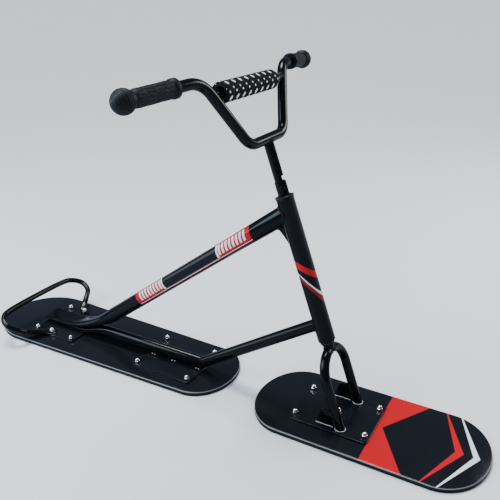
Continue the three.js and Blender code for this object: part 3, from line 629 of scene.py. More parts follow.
lower_end = head_point(0, 0, LOWER_MEETS_HEAD)
lower_start = level_section(MITRE_X + MITRE_GAP, RAIL_HEIGHT, MITRE_TILT, *MITRE_HALF)
lower_stop = level_section(lower_end.x, lower_end.z, LOWER_ANGLE, LOWER_RADIUS, LOWER_RADIUS)
hang_painted(drawn_tube([lower_start, lower_stop], 40), "lower_frame_tube", "frame", "lower_tube")


# Upper tube: the frame's big tube, straight from the head tube, then bent along the rail and pressed
# to a hollowed blade. A printed band of red, white and black stripes runs along both its sides.
UPPER_RADIUS = 0.02
UPPER_ANGLE = radians(36.9)
UPPER_MEETS_HEAD = 0.314
UPPER_END_HALF = (0.0197, 0.0215)
FLARE_LENGTH = 0.19
BLADE_HEIGHT = 0.0297
BLADE_HALF = (0.0295, 0.0048)
BLADE_SQUARE = 3
UPPER_CORNER_X = -0.3936
BLADE_TIP_X = UPPER_CORNER_X - 0.177
BLADE_START_X = UPPER_CORNER_X - 0.1
UPPER_BEND_X = UPPER_CORNER_X + 0.08
BLADE_STEPS = 5
BEND_STEPS = 28
HOLLOW_DEPTH = 0.0045
HOLLOW_START_X = UPPER_CORNER_X - 0.09
upper_end = head_point(0, 0, UPPER_MEETS_HEAD)
upper_rise = tan(UPPER_ANGLE)


def bend_section(t):
    """A section of the upper tube's bend, from the blade at 0 to the round tube at 1."""
    straight_z = BLADE_HEIGHT + (UPPER_BEND_X - UPPER_CORNER_X) * upper_rise
    x = (1 - t) ** 2 * BLADE_START_X + 2 * t * (1 - t) * UPPER_CORNER_X + t * t * UPPER_BEND_X
    z = (1 - t * t) * BLADE_HEIGHT + t * t * straight_z
    slope_x = (1 - t) * (UPPER_CORNER_X - BLADE_START_X) + t * (UPPER_BEND_X - UPPER_CORNER_X)
    tilt = atan2(t * (straight_z - BLADE_HEIGHT), slope_x)
    opened = t**1.5
    half_width = blend(BLADE_HALF[0], UPPER_RADIUS, opened)
    half_height = blend(BLADE_HALF[1], UPPER_RADIUS, opened)
    return level_section(x, z, tilt, half_width, half_height, blend(BLADE_SQUARE, ROUND, opened))


blade_xs = even_steps(BLADE_TIP_X, BLADE_START_X, BLADE_STEPS)[:-1]
upper_sections = [level_section(x, BLADE_HEIGHT, 0, *BLADE_HALF, BLADE_SQUARE) for x in blade_xs]
upper_sections += [bend_section(t) for t in even_steps(0, 1, BEND_STEPS)]
flare_x = upper_end.x - FLARE_LENGTH * cos(UPPER_ANGLE)
flare_z = BLADE_HEIGHT + (flare_x - UPPER_CORNER_X) * upper_rise
upper_sections.append(level_section(flare_x, flare_z, UPPER_ANGLE, UPPER_RADIUS, UPPER_RADIUS))
upper_sections.append(level_section(upper_end.x, upper_end.z, UPPER_ANGLE, *UPPER_END_HALF))
upper = drawn_tube(upper_sections, 48)

# The press leaves the blade's upper skin hollowed along its middle.
for point in upper.data.vertices:
    if point.co.x < UPPER_CORNER_X and point.co.z > BLADE_HEIGHT:
        inward = max(1 - (point.co.y / BLADE_HALF[0]) ** 2, 0)
        point.co.z -= HOLLOW_DEPTH * inward * rise(point.co.x, UPPER_CORNER_X, HOLLOW_START_X)
round_edges(upper, PRESSED_EDGE, sharper_than=50)

# The print: a red band with slanted ends, barred with white, and a black panel with a white rim in its
# middle, over a white and a dark red line. Each part runs between two distances off the tube's axis.
PRINT_MIDDLE = 0.448
PRINT_HALF = 0.213
PRINT_BORDER = 0.0005
PANEL_HALF = 0.1
PANEL_RIM = 0.006
END_BAND = 0.013
BAR_PITCH = 0.0118
BAR_GAP = 0.0027
BAR_LEAN = 0.2
BAND_OVER = (-0.0090, 0.0188)
BARS_OVER = (-0.0045, 0.0178)
WHITE_LINE_OVER = (-0.0122, -0.0107)
RED_LINE_OVER = (-0.0150, -0.0128)
LINE_RED = (0.22, 0.012, 0.014)
upper_print, upper_shader, upper_place = frame_paint("upper_tube_printed")
upper_corner = Vector((UPPER_CORNER_X, 0, BLADE_HEIGHT))
upper_way, upper_side = tilted(UPPER_ANGLE)


def distance_along(place, start, direction):
    """How far a place is from a start along a direction."""
    away = add_node("VectorMath", {0: place, 1: start}, operation="SUBTRACT")[0]
    return add_node("VectorMath", {0: away, 1: direction}, operation="DOT_PRODUCT")["Value"]


upper_run = distance_along(upper_place, upper_corner, upper_way)
upper_over = distance_along(upper_place, upper_corner, upper_side)
off_print = math_node("ABSOLUTE", math_node("SUBTRACT", upper_run, PRINT_MIDDLE))
bar_lean = math_node("MULTIPLY", upper_over, BAR_LEAN)
slanted = math_node("SUBTRACT", off_print, bar_lean)


def print_part(half_length, over):
    """A part of the print with slanted ends: half its length, and how far over the axis it runs."""
    along = stripe(slanted, -1, half_length, PRINT_BORDER)
    return both(along, stripe(upper_over, *over, PRINT_BORDER))


bar_wave = math_node("PINGPONG", slanted, BAR_PITCH / 2)
bars = stripe(bar_wave, BAR_GAP, 1, PRINT_BORDER)
upper_layers = [
    (print_part(PRINT_HALF, BAND_OVER), PRINT_RED),
    (both(bars, print_part(PRINT_HALF - END_BAND, BARS_OVER)), PRINT_WHITE),
    (print_part(PANEL_HALF + PANEL_RIM, BAND_OVER), PRINT_WHITE),
    (print_part(PANEL_HALF, BAND_OVER), BOARD_BLACK),
    (print_part(PRINT_HALF, WHITE_LINE_OVER), PRINT_WHITE),
    (print_part(PRINT_HALF, RED_LINE_OVER), LINE_RED),
]
paint_over(upper_shader, PAINT_BLACK, upper_layers)
hang(upper, "upper_frame_tube", "frame", "frame_paint", upper_print, "upper_tube", smooth=50)


# Head tube: a 40 mm tube with a chamfered foot and a nylon bush pressed into each end. Diagonal red
# and white stripes are printed round it. The turned helper makes every round piece on an axis.
HEAD_RADIUS = 0.02
HEAD_PROFILE = (
    (0.0038, 0.0170), (0.0042, 0.0179), (0.0063, HEAD_RADIUS),
    (0.3455, HEAD_RADIUS), (0.3465, 0.0208), (0.3472, 0.0203),
)
HEAD_UP = on_head.to_3x3() @ Vector((0, 0, 1))
HEAD_AHEAD = on_head.to_3x3() @ Vector((1, 0, 0))
STRIPE_LEAN = radians(30)
STRIPE_BORDER = 0.0006
# Each stripe's lower edge and upper edge, as a height and a slope, and its colour.
HEAD_STRIPES = (
    ((0.1725, 0.9), (0.1900, 0.95), PRINT_RED),
    ((0.1300, 1.7), (0.1450, 1.6), (0.24, 0.014, 0.016)),
    ((0.1440, 1.6), (0.1498, 1.45), PRINT_WHITE),
)
# Each bush's foot on the head tube's axis and the radius of its flange.
BUSHES = {"lower_bush": (0.0, 0.017), "upper_bush": (0.3475, 0.02125)}
BUSH_EDGE = 0.0005
FLANGE_THICKNESS = 0.0035
WEB_EDGE = 0.0005


def turned(profile, place=on_head, sides=48, bored=False):
    """A round piece about the Z of a place. The profile lists heights and radii, from the bottom, and
    comes back to its start where the piece is bored."""
    turn = place.to_3x3()
    side, up = turn @ Vector((1, 0, 0)), turn @ LEFT
    around = list(profile) + list(profile[:1]) if bored else profile
    sections = []
    for height, radius in around:
        sections.append((place @ Vector((0, 0, height)), side, up, radius, radius, ROUND))
    piece = drawn_tube(sections, sides, closed_ends=not bored)
    if bored:
        edit_mesh(remove_doubles={"threshold": 0.000001}, normals_make_consistent={"inside": False})
    return piece


def washer(low, high, radius, edge, inset):
    """A round plate on the head tube's axis, with its rims taken back by an edge and an inset."""
    rims = ((low, radius - inset), (low + edge, radius), (high - edge, radius), (high, radius - inset))
    return turned(rims)


head_print, head_shader, head_place = frame_paint("head_tube_printed")
head_run = distance_along(head_place, HEAD_FOOT, HEAD_UP)
stripe_way = HEAD_AHEAD * cos(STRIPE_LEAN) + LEFT * sin(STRIPE_LEAN)
head_across = distance_along(head_place, HEAD_FOOT, stripe_way)


def head_stripe(low, high):
    """A stripe round the head tube between two slanting edges."""
    masks = []
    for (height, slope), sense in ((low, 1), (high, -1)):
        edge = math_node("MULTIPLY_ADD", head_across, -slope, height)
        above = math_node("SUBTRACT", head_run, edge)
        masks.append(math_node("MULTIPLY_ADD", above, sense / STRIPE_BORDER, 0.5, clamp=True))
    return both(*masks)


head_layers = [(head_stripe(low, high), color) for low, high, color in HEAD_STRIPES]
paint_over(head_shader, PAINT_BLACK, head_layers)
head_tube = turned(HEAD_PROFILE, sides=64)
hang(head_tube, "head_tube_shell", "frame", "frame_paint", head_print, "head_tube", smooth=40)

nylon = marked_material("bush_nylon", (0.012, 0.012, 0.014), 60, 700, (0.28, 0.45), 0.00003)[0]
for name, (low, flange) in BUSHES.items():
    bush = washer(low, low + FLANGE_THICKNESS, flange, BUSH_EDGE, BUSH_EDGE)
    hang(bush, name + "_flange", "frame", "nylon_bush", nylon, name, smooth=40)

corner_web = clean_copy("head_gusset")
round_edges(corner_web, WEB_EDGE)
hang_painted(corner_web, "head_gusset_plate", "frame", "head_gusset", smooth=35)


# Fork: one tube bent into an arch over the front board, its feet cut level and welded to the plate,
# with a small web behind each foot. The steerer stands on the arch.
FORK_RADIUS = 0.0111
FORK_HALF = 0.057
FORK_FOOT = 0.012
ARCH_DROP = -0.0755
ARCH_STEPS = 40


def sections_along(line, radius, up=Vector((0, 0, 1))):
    """Round sections along a line of points, turned as little as possible from one to the next."""
    found = []
    for number, middle in enumerate(line):
        ahead = heading(line, number)
        side = up.cross(ahead).normalized()
        up = ahead.cross(side).normalized()
        found.append((middle, side, up, radius, radius, ROUND))
    return found


def slid_down(point, level):
    """A point slid along the head tube's axis to a level."""
    return point - HEAD_UP * ((point.z - level) / HEAD_UP.z)


fork_line = []
for step in range(ARCH_STEPS + 1):
    angle = pi * step / ARCH_STEPS
    fork_line.append(head_point(0, -FORK_HALF * cos(angle), ARCH_DROP + FORK_HALF * sin(angle)))
fork_sections = sections_along(fork_line, FORK_RADIUS, Vector((1, 0, 0)))
feet = [(slid_down(middle, STEEL_BASE), *rest) for middle, *rest in (fork_sections[0], fork_sections[-1])]
fork = drawn_tube([feet[0]] + fork_sections + [feet[1]], 40)
for point in fork.data.vertices:
    if point.co.z < STEEL_BASE + FORK_FOOT:
        point.co = slid_down(point.co, STEEL_BASE)
hang_painted(fork, "fork_tube", "steering", "fork")

for node in ("right_gusset", "left_gusset"):
    web = clean_copy(node)
    round_edges(web, WEB_EDGE)
    hang_painted(web, node + "_web", "steering", node, smooth=35)


# Steerer: a 25.4 mm tube that stands on the fork's arch and runs up through the bushes. A collar under
# the lower bush and a ring on the upper one keep it in place, and its top is slotted for clamping.
STEERER_RADIUS = 0.0127
POST_RADIUS = 0.0111
STEERER_BORE = POST_RADIUS + 0.0003
STEERER_FOOT = -0.0185
STEERER_TOP = 0.383
STEERER_EDGE = 0.0006
COLLAR_RADIUS = 0.0155
COLLAR_EDGE = 0.0005
STEERER_PROFILE = (
    (STEERER_FOOT, STEERER_RADIUS), (-0.0036, STEERER_RADIUS), (-0.0033, COLLAR_RADIUS),
    (-0.0008, COLLAR_RADIUS), (-0.0003, COLLAR_RADIUS - COLLAR_EDGE), (-0.0002, STEERER_RADIUS),
    (STEERER_TOP - STEERER_EDGE, STEERER_RADIUS), (STEERER_TOP, STEERER_RADIUS - STEERER_EDGE),
    (STEERER_TOP, STEERER_BORE), (STEERER_FOOT, STEERER_BORE),
)
RING_FROM, RING_TO = 0.3513, 0.3533
RING_EDGE = 0.0004
SLOT_WIDTH = 0.0066
SLOT_BOTTOM = 0.363
SLOT_LENGTH = 0.04
SLOT_DEPTH = 0.02
SLOT_TURN = radians(-60)


def cut_box(piece, place, middle, size):
    """Cut a box out of a piece. Its middle and size are given in a place's own directions."""
    bpy.ops.mesh.primitive_cube_add(size=1)
    cutter = bpy.context.object
    cutter.matrix_world = place @ Matrix.Translation(middle) @ Matrix.Diagonal((*size, 1))
    combine(piece, cutter)


steerer = turned(STEERER_PROFILE, bored=True)
slot_middle = (STEERER_RADIUS, 0, SLOT_BOTTOM + SLOT_LENGTH / 2)
slot_side = on_head @ Matrix.Rotation(SLOT_TURN, 4, "Z")
cut_box(steerer, slot_side, slot_middle, (SLOT_DEPTH, SLOT_WIDTH, SLOT_LENGTH))
hang_painted(steerer, "steerer_sleeve", "steering", "steerer_tube", smooth=40)

ring = washer(RING_FROM, RING_TO, COLLAR_RADIUS, RING_EDGE, COLLAR_EDGE)
hang_painted(ring, "retaining_ring_turned", "steering", "retaining_ring", smooth=40)


# Lock screw: a low round-headed screw with a hexagon socket, blackened like the frame. It sits in the
# steerer's slot and is tightened on the post.
SCREW_HEIGHT = 0.369
SCREW_TOP = 0.0169
SCREW_PROFILE = (
    (0.0114, 0.0024), (0.0130, 0.0024), (0.0130, 0.0050),
    (0.0150, 0.0050), (0.0163, 0.0042), (SCREW_TOP, 0.0028),
)
SOCKET_RADIUS = 0.0018
SOCKET_DEPTH = 0.00175
on_screw = on_head @ Matrix.Translation((0, 0, SCREW_HEIGHT)) @ Matrix.Rotation(SLOT_TURN, 4, "Z")
on_screw = on_screw @ Matrix.Rotation(radians(90), 4, "Y")
screw = turned(SCREW_PROFILE, on_screw, 32)
socket = cylinder(6, SOCKET_RADIUS, -SOCKET_DEPTH, SOCKET_DEPTH)
socket.matrix_world = on_screw @ Matrix.Translation((0, 0, SCREW_TOP))
combine(screw, socket)
hang_painted(screw, "lock_screw_head", "steering", "lock_screw", smooth=40)


# Post and handlebar: 22.2 mm tubes. The post slides in the steerer, and its notch faces a little to the
# left of ahead. The bar is bent up at its foot and out at its shoulders, with a thinner crossbar welded
# between its legs.
BAR_FOOT_HALF = 0.074
BAR_SHOULDER_HALF = 0.166
BALL_HALF = 0.348
SHOULDER_SETBACK = 0.004
GRIP_SETBACK = 0.0385
BAR_PAST_BALL = 0.008
BAR_HEIGHT = 0.477
SHOULDER_HEIGHT = 0.621
BAR_BEND_RADII = (0.06, 0.044, 0.044, 0.06)
BEND_POINTS = 16
CROSSBAR_RADIUS = 0.008
CROSSBAR_HEIGHT = 0.5924
CROSSBAR_SHORT = 0.002
LEG_SHARE = (CROSSBAR_HEIGHT - BAR_HEIGHT) / (SHOULDER_HEIGHT - BAR_HEIGHT)
CROSSBAR_AHEAD = -SHOULDER_SETBACK * LEG_SHARE
POST_FOOT = 0.262
POST_EDGE = 0.0006
NOTCH_MIDDLE = (0.0114, 0, 0.3895)
NOTCH_SIZE = (0.01, 0.03, 0.01)
NOTCH_TURN = radians(29)

post_foot = [(POST_FOOT, POST_RADIUS - POST_EDGE), (POST_FOOT + POST_EDGE, POST_RADIUS)]
post = turned(post_foot + [(BAR_HEIGHT, POST_RADIUS)])
cut_box(post, on_head @ Matrix.Rotation(NOTCH_TURN, 4, "Z"), NOTCH_MIDDLE, NOTCH_SIZE)
hang_painted(post, "sliding_post", "bars", "handlebar_post", smooth=40)


def bent_line(corners, radii, steps):
    """The middle line of a tube that is straight between corners and bent round them at their radii."""
    line = [corners[0]]
    for before, corner, after, radius in zip(corners, corners[1:], corners[2:], radii):
        way_in = (corner - before).normalized()
        way_out = (after - corner).normalized()
        turn = way_in.angle(way_out)
        middle = corner + (way_out - way_in).normalized() * (radius / cos(turn / 2))
        axis = way_in.cross(way_out).normalized()
        start = corner - way_in * (radius * tan(turn / 2)) - middle
        for step in range(steps + 1):
            line.append(middle + Quaternion(axis, turn * step / steps) @ start)
    return line + [corners[-1]]


grip_slope = (GRIP_SETBACK - SHOULDER_SETBACK) / (BALL_HALF - BAR_SHOULDER_HALF)
tip_setback = GRIP_SETBACK + grip_slope * BAR_PAST_BALL
bar_corners = []
for hand in (-1, 1):
    half = [
        head_point(-tip_setback, hand * (BALL_HALF + BAR_PAST_BALL), SHOULDER_HEIGHT),
        head_point(-SHOULDER_SETBACK, hand * BAR_SHOULDER_HALF, SHOULDER_HEIGHT),
        head_point(0, hand * BAR_FOOT_HALF, BAR_HEIGHT),
    ]
    bar_corners += half if hand < 0 else half[::-1]
bar_line = bent_line(bar_corners, BAR_BEND_RADII, BEND_POINTS)
bar = drawn_tube(sections_along(bar_line, POST_RADIUS, -HEAD_UP), 40)
hang_painted(bar, "handlebar_tube", "bars", "handlebar")

crossbar_half = blend(BAR_FOOT_HALF, BAR_SHOULDER_HALF, LEG_SHARE) - CROSSBAR_SHORT
crossbar_line = [head_point(CROSSBAR_AHEAD, hand * crossbar_half, CROSSBAR_HEIGHT) for hand in (-1, 1)]
crossbar = drawn_tube(sections_along(crossbar_line, CROSSBAR_RADIUS))
hang_painted(crossbar, "crossbar_tube", "bars", "crossbar")


# Crossbar pad: a foam roll with an open bore, pushed into a stretched net sleeve. The sleeve is printed
# with rows of white ovals and dots, stands up a little at each oval and is tucked over the foam's right
# end. On the left it is gathered down to the crossbar.
PAD_RIGHT, PAD_LEFT = -0.118, 0.088
PAD_RADIUS = 0.021
FOAM_RADIUS = 0.0196
FOAM_BORE = 0.0123
# The foam's rounded end, from its bore outwards: how far in from the end, and the radius.
FOAM_END = (
    (0.014, 0.0084), (0.009, 0.0112), (0.003, FOAM_BORE), (0.0008, 0.0136),
    (0.0006, 0.0165), (0.0018, 0.0186), (0.005, FOAM_RADIUS),
)
OVAL_PITCH = 0.025
OVAL_START = -0.107
OVAL_ROW = radians(44.4)
OVAL_LEAN = 0.1
pad_middle = Vector((CROSSBAR_AHEAD, 0, CROSSBAR_HEIGHT))
on_pad = on_head @ Matrix.Translation(pad_middle) @ Matrix.Rotation(radians(-90), 4, "X")

foam_black = marked_material("pad_foam_black", (0.008, 0.008, 0.009), 200, 1800, (0.8, 0.95), 0.0004)[0]
foam_profile = [(PAD_RIGHT + inset, radius) for inset, radius in FOAM_END]
foam_profile += [(PAD_LEFT - inset, radius) for inset, radius in reversed(FOAM_END)]
foam = turned(foam_profile, on_pad, 64, bored=True)
hang(foam, "pad_foam_roll", "bars", "pad_foam", foam_black, "pad_foam", smooth=80)

SLEEVE_RINGS = 84
SLEEVE_INSET = 0.0035
SLEEVE_INNER = 0.0199
# The tucked right end, from inside to outside: how far in from the end, and the radius.
SLEEVE_TUCK = (
    (0.0042, SLEEVE_INNER), (0.0012, 0.0190), (-0.0002, 0.0174),
    (-0.0009, 0.0176), (-0.0006, 0.0190), (0.0010, 0.0202),
)
GATHER_RINGS = 12
GATHER_END = 0.116
GATHER_START_RADIUS = 0.0206
GATHER_RADIUS = 0.0112
GATHER_FOLDS = 13
sleeve_profile = [(PAD_RIGHT + inset, radius) for inset, radius in SLEEVE_TUCK]
for along in even_steps(PAD_RIGHT + SLEEVE_INSET, PAD_LEFT - SLEEVE_INSET, SLEEVE_RINGS):
    sleeve_profile.append((along, PAD_RADIUS))
for share in even_steps(0, 1, GATHER_RINGS):
    radius = blend(GATHER_START_RADIUS, GATHER_RADIUS, rise(share, 0, 1))
    sleeve_profile.append((blend(PAD_LEFT, GATHER_END, share), radius))
sleeve_profile.append((GATHER_END - 0.001, GATHER_RADIUS - 0.0012))
sleeve_profile += [(PAD_LEFT + SLEEVE_INSET, 0.0190), (PAD_LEFT, SLEEVE_INNER)]
sleeve = turned(sleeve_profile, on_pad, 104, bored=True)

# The net stands up along each slanting row of print, and falls in folds where it is gathered.
NET_PUSH = 0.0005
OUTER_FROM = 0.0203
to_head = on_head.inverted()
for point in sleeve.data.vertices:
    local = to_head @ point.co - pad_middle
    outward = Vector((local.x, 0, local.z))
    around = atan2(local.z, local.x)
    lean = abs(remainder(around - OVAL_ROW + pi / 4, pi)) * PAD_RADIUS * OVAL_LEAN
    swell = cos(2 * pi * (local.y - OVAL_START + lean) / OVAL_PITCH)
    gathered = rise(local.y, PAD_LEFT, GATHER_END)
    fold = cos(GATHER_FOLDS * around) + 0.5 * cos(5 * around + 1)
    push = NET_PUSH * (swell * (1 - gathered) + fold * sin(pi * gathered) ** 0.5)
    if outward.length > OUTER_FROM or gathered > 0:
        point.co += on_head.to_3x3() @ outward.normalized() * push

# One printed spot: an oval with a lean, at the origin of two running values.
spot_mask, spot_in, spot_out = new_group(
    "spot_mask", ("Along", "Around", "Half length", "Half width", "Lean"), ("Mask",)
)
leaning = math_node("MULTIPLY_ADD", spot_in["Around"], spot_in["Lean"], spot_in["Along"])
squares = []
for way, size in ((leaning, spot_in["Half length"]), (spot_in["Around"], spot_in["Half width"])):
    reach = math_node("DIVIDE", math_node("ABSOLUTE", way), size)
    squares.append(math_node("POWER", reach, 2))
spot_reach = math_node("SQRT", math_node("ADD", *squares))
link(math_node("MULTIPLY_ADD", spot_reach, -7, 7.5, clamp=True), spot_out["Mask"])

NET_BLACK = (0.006, 0.005, 0.0065)
NET_WHITE = (0.78, 0.8, 0.83)
NET_THREAD = 0.0014
OVAL_HALF = (0.0041, 0.0051)
DOT_RADIUS = 0.0023
# Each row of dots: how far past the ovals it starts, as a share of their pitch, and its turn in degrees.
DOT_ROWS = ((0.45, 10), (0.75, -10))
EIGHTH_TURN = radians(45)
net_print, net_shader = new_material("pad_net_print", NET_BLACK, 0.75, specular=0.12)
net_place = source(net_print.node_tree, "TexCoord", "Object")
net_ahead, net_along, net_up = [
    distance_along(net_place, on_head @ pad_middle, way) for way in (HEAD_AHEAD, LEFT, HEAD_UP)
]
net_turn = math_node("ARCTAN2", net_up, net_ahead)
off_row = math_node("SUBTRACT", net_turn, OVAL_ROW - EIGHTH_TURN)
half_turn = math_node("WRAP", off_row, 2 * EIGHTH_TURN, -2 * EIGHTH_TURN)
from_row = math_node("SUBTRACT", math_node("ABSOLUTE", half_turn), EIGHTH_TURN)
quarter_turn = math_node("WRAP", off_row, EIGHTH_TURN, -EIGHTH_TURN)


def net_spots(offset, turn, half_length, half_width, lean):
    """The mask of a row of spots, one at each pitch, along a line at no turn round the pad."""
    shifted = math_node("SUBTRACT", net_along, OVAL_START + offset * OVAL_PITCH)
    along = math_node("WRAP", shifted, OVAL_PITCH / 2, -OVAL_PITCH / 2)
    around = math_node("MULTIPLY", turn, PAD_RADIUS)
    return use_group(spot_mask, along, around, half_length, half_width, lean)["Mask"]


net_layers = [(net_spots(0, from_row, *OVAL_HALF, OVAL_LEAN), NET_WHITE)]
for offset, degrees in DOT_ROWS:
    dot_turn = math_node("SUBTRACT", quarter_turn, radians(degrees))
    net_layers.append((net_spots(offset, dot_turn, DOT_RADIUS, DOT_RADIUS, 0), NET_WHITE))
paint_over(net_shader, NET_BLACK, net_layers)

# The net's own mesh: two sets of fine slanting threads.
net_around = math_node("MULTIPLY", net_turn, PAD_RADIUS)
threads = [
    math_node("PINGPONG", math_node(sense, net_along, net_around), NET_THREAD / 2)
    for sense in ("ADD", "SUBTRACT")
]
net_height = math_node("DIVIDE", math_node("MAXIMUM", *threads), NET_THREAD / 2)
net_bump = add_node("Bump", {"Strength": 0.6, "Distance": 0.0003, "Height": net_height})
link(net_bump[0], net_shader.inputs["Normal"])
hang(sleeve, "pad_net_sleeve", "bars", "pad_net", net_print, "pad_cover", smooth=80)


# Grips: soft black rubber, moulded in one piece with a flange at the inner end, waved flutes along the
# hold and a ringed ball at the outer end, and pushed on the bar.
GRIP_RADIUS = 0.0165
GRIP_NECK = 0.0145
GRIP_FLANGE = (
    (-0.1200, 0.0128), (-0.1200, 0.0176), (-0.1193, 0.0185),
    (-0.1107, 0.0187), (-0.1098, 0.0183), (-0.1092, 0.0172),
)
HOLD_FROM, HOLD_TO = -0.1085, -0.0240
HOLD_RINGS = 44
GRIP_SHOULDER = (-0.0215, 0.0158)
FLUTES = 14
FLUTE_DEPTH = 0.0006
FLUTE_FADE = 0.004
# The flutes sway in two waves along the hold: how far each turns them, and how long it is.
FLUTE_WAVES = ((0.9, 0.034), (0.5, 0.013))
FLUTES_FROM, FLUTES_TO = HOLD_FROM - 0.0001, HOLD_TO + 0.0002
BALL_RADIUS = 0.0225
BALL_STEPS = 59
BALL_END = pi * 0.985
RING_DEPTH = 0.0009
RINGS_ROUND = 24
rubber = marked_material(
    "grip_rubber_black", (0.0075, 0.009, 0.0125), 80, 900, (0.45, 0.62), 0.0002, specular=0.2
)[0]

grip_profile = list(GRIP_FLANGE)
grip_profile += [(along, GRIP_RADIUS) for along in even_steps(HOLD_FROM, HOLD_TO, HOLD_RINGS)]
grip_profile.append(GRIP_SHOULDER)
for angle in even_steps(asin(GRIP_NECK / BALL_RADIUS), BALL_END, BALL_STEPS):
    groove = RING_DEPTH * max(0, cos(angle * RINGS_ROUND)) ** 2 * min(1, 3 * sin(angle) ** 2)
    radius = BALL_RADIUS - groove
    grip_profile.append((-radius * cos(angle), radius * sin(angle)))
for hand, name in ((-1, "right_grip"), (1, "left_grip")):
    outward = Vector((SHOULDER_SETBACK - GRIP_SETBACK, hand * (BALL_HALF - BAR_SHOULDER_HALF), 0))
    turn = Vector((0, 0, 1)).rotation_difference(outward.normalized()).to_matrix().to_4x4()
    on_grip = on_head @ Matrix.Translation((-GRIP_SETBACK, hand * BALL_HALF, SHOULDER_HEIGHT)) @ turn
    grip = turned(grip_profile, on_grip, 112)
    to_grip = on_grip.inverted()
    for point in grip.data.vertices:
        local = to_grip @ point.co
        if FLUTES_FROM < local.z < FLUTES_TO:
            around = atan2(local.y, local.x)
            sway = sum(reach * sin(2 * pi * local.z / length) for reach, length in FLUTE_WAVES)
            fade = rise(local.z, FLUTES_FROM, FLUTES_FROM + FLUTE_FADE)
            fade *= rise(local.z, FLUTES_TO, FLUTES_TO - FLUTE_FADE)
            shift = FLUTE_DEPTH * fade * sin(FLUTES * around + sway)
            point.co += on_grip.to_3x3() @ Vector((local.x, local.y, 0)).normalized() * shift
    hang(grip, name + "_rubber", "bars", "grip_rubber", rubber, name, smooth=60)


# Welds: rippled beads laid round every joint of the tubes and webs, and painted with the frame. Those at
# the feet and webs of the fork are left bare, and so are the short tacks that hold the rail to its plates.
BEAD_STEP = 0.0008
RIPPLE = 0.16
WAVER = 0.05
WAVER_PACE = 0.37
UPPER_BEAD = 0.0024
FRAME_BEAD = 0.0022
TUBE_BEAD = 0.0019
LIGHT_BEAD = 0.0016
FOOT_BEAD = 0.0014
WEB_BEAD = 0.0013
RING_BELOW_BAR = 0.03
ARCH_BEAD_SINK = 0.0006
FOOT_BEAD_RISE = 0.0006
WEB_BEAD_RISE = 0.0003
WEB_BEAD_INSETS = (0.001, 0.005)
GUSSET_FACES = (-0.0024, 0.0024)
GUSSET_AHEAD = -0.0199
GUSSET_HEIGHTS = (0.2345, 0.284)
GUSSET_BACK = (0.027, 0.048)
bare_weld = marked_material(
    "bare_weld_steel", (0.5, 0.51, 0.53), 300, 1500, (0.22, 0.45), 0.00005, metallic=1.0
)[0]


def even_line(points, step):
    """The points of a line at even steps along it."""
    found = [points[0]]
    left_over = 0.0
    for start, end in zip(points, points[1:]):
        length = (end - start).length
        reach = step - left_over
        while reach <= length:
            found.append(start.lerp(end, reach / length))
            reach += step
        left_over = length - (reach - step)
    return found


def hang_weld(piece, name, body, bare):
    """Finish a weld, painted with the frame or left bare."""
    slot, material = ("zinc_hardware", bare_weld) if bare else ("frame_paint", black_paint)
    hang(piece, name, body, slot, material, smooth=60)


def weld_bead(points, radius, name, body, bare=False):
    """A bead along a line of points, swelling at every fourth step as the torch did."""
    sections = []
    for number, (middle, side, up, *_) in enumerate(sections_along(even_line(points, BEAD_STEP), radius)):
        swell = radius * (1 + RIPPLE * cos(pi * number / 2) + WAVER * sin(WAVER_PACE * number))
        sections.append((middle, side, up, swell, swell, ROUND))
    hang_weld(drawn_tube(sections, 10), name, body, bare)


def ring_line(middle, side, up, half_width, half_height, steps=72):
    """The points round an ellipse and back to its start."""
    angles = [2 * pi * step / steps for step in range(steps + 1)]
    return [middle + side * (half_width * cos(a)) + up * (half_height * sin(a)) for a in angles]


def coped_weld(name, body, bead_radius, ahead, ring, axis_point, axis_way, radius):
    """Weld a tube, which points ahead and has a ring of points on it, to the round tube it meets."""
    line = []
    way = ahead - axis_way * ahead.dot(axis_way)
    for point in ring:
        away = point - axis_point
        away -= axis_way * away.dot(axis_way)
        square_part, middle_part = way.dot(way), away.dot(way)
        root = max(middle_part**2 - square_part * (away.dot(away) - radius**2), 0)
        line.append(point - ahead * ((middle_part + sqrt(root)) / square_part))
    weld_bead(line, bead_radius, name + "_weld", body)


lower_way, lower_side = tilted(LOWER_ANGLE)
for name, radius, way, ring in (
    ("upper", UPPER_BEAD, upper_way, ring_line(upper_end, LEFT, upper_side, *UPPER_END_HALF)),
    ("lower", FRAME_BEAD, lower_way, ring_line(lower_end, LEFT, lower_side, LOWER_RADIUS, LOWER_RADIUS)),
):
    coped_weld(name + "_joint", "frame", radius, way, ring, HEAD_FOOT, HEAD_UP, HEAD_RADIUS)
mitre_joint = ring_line(Vector((MITRE_X, 0, RAIL_HEIGHT)), LEFT, tilted(MITRE_TILT)[1], *MITRE_HALF)
weld_bead(mitre_joint, TUBE_BEAD, "mitre_weld", "frame")

# The post and crossbar are coped to the bar, and the steerer to the arch of the fork.
ring_middle = head_point(0, 0, BAR_HEIGHT - RING_BELOW_BAR)
post_ring = ring_line(ring_middle, HEAD_AHEAD, LEFT, POST_RADIUS, POST_RADIUS)
bar_foot = head_point(0, 0, BAR_HEIGHT)
coped_weld("post_joint", "bars", TUBE_BEAD, HEAD_UP, post_ring, bar_foot, LEFT, POST_RADIUS)
arch_ring = ring_line(HEAD_FOOT, HEAD_AHEAD, LEFT, STEERER_RADIUS - ARCH_BEAD_SINK, STEERER_RADIUS)
arch_top = head_point(0, 0, ARCH_DROP + FORK_HALF)
coped_weld("arch_joint", "steering", FRAME_BEAD, -HEAD_UP, arch_ring, arch_top, LEFT, FORK_RADIUS)
crossbar_middle = head_point(CROSSBAR_AHEAD, 0, CROSSBAR_HEIGHT)
crossbar_ring = ring_line(crossbar_middle, HEAD_AHEAD, HEAD_UP, CROSSBAR_RADIUS, CROSSBAR_RADIUS)
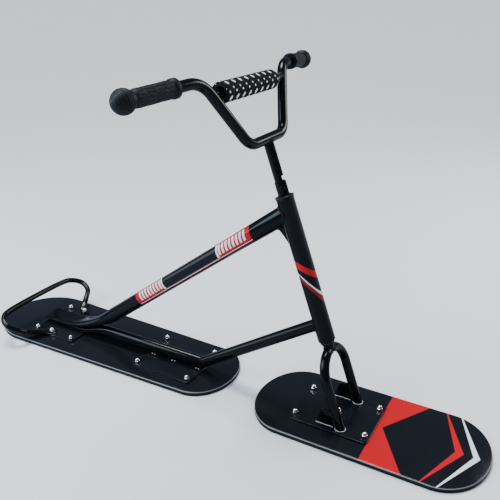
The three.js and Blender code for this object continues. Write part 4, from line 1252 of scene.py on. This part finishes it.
for hand, name in ((-1, "right"), (1, "left")):
    leg_foot = head_point(0, hand * BAR_FOOT_HALF, BAR_HEIGHT)
    shoulder = head_point(-SHOULDER_SETBACK, hand * BAR_SHOULDER_HALF, SHOULDER_HEIGHT)
    leg = (leg_foot, (shoulder - leg_foot).normalized(), POST_RADIUS)
    coped_weld(name + "_crossbar", "bars", LIGHT_BEAD, LEFT * hand, crossbar_ring, *leg)

    # A foot's weld runs where the leg's slanting tube meets the plate.
    leg_middle = head_point(0, hand * FORK_HALF, ARCH_DROP)
    leg_ring = ring_line(leg_middle, HEAD_AHEAD, LEFT, FORK_RADIUS, FORK_RADIUS, 64)
    foot_joint = [slid_down(point, STEEL_BASE + FOOT_BEAD_RISE) for point in leg_ring]
    weld_bead(foot_joint, FOOT_BEAD, name + "_foot_weld", "steering", bare=True)
    low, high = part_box(name + "_gusset")
    bead_xs = (low[0] + WEB_BEAD_INSETS[0], high[0] - WEB_BEAD_INSETS[1])
    for face, face_name in ((low[1], "right"), (high[1], "left")):
        base = [Vector((x, face, STEEL_BASE + WEB_BEAD_RISE)) for x in bead_xs]
        weld_bead(base, WEB_BEAD, f"{name}_gusset_weld_{face_name}", "steering", bare=True)

# The head gusset is welded down both sides of its edge on the head tube, and under the upper tube.
for number, face in enumerate(GUSSET_FACES, 1):
    edge = [head_point(GUSSET_AHEAD, face, height) for height in GUSSET_HEIGHTS]
    weld_bead(edge, LIGHT_BEAD, f"head_gusset_weld_{number}", "frame")
    top = upper_end - upper_side * UPPER_END_HALF[1] + LEFT * face
    edge = [top - upper_way * back for back in GUSSET_BACK]
    weld_bead(edge, LIGHT_BEAD, f"head_gusset_top_weld_{number}", "frame")

TACK_XS = (-0.5495, -0.5075, -0.4865, -0.4145, -0.1675, -0.1015, -0.0255)
TACK_SIDE = 0.0155
TACK_PITCH = 0.008
TACK_PROFILE = ((-0.0026, 0.0008), (-0.0014, 0.0018), (0.0014, 0.0018), (0.0026, 0.0008))
tack = turned(TACK_PROFILE, Matrix.Rotation(radians(90), 4, "Y"), 12)
for number, x in enumerate(TACK_XS, 1):
    for hand, side_name in ((-1, "right"), (1, "left")):
        for half, half_name in ((-1, "back"), (1, "front")):
            placed = own_copy(tack, (x + half * TACK_PITCH / 2, hand * TACK_SIDE, STEEL_BASE))
            tack_name = f"rail_tack_{side_name}_{number}_{half_name}"
            hang_weld(placed, tack_name, "frame", True)
bpy.data.objects.remove(tack)
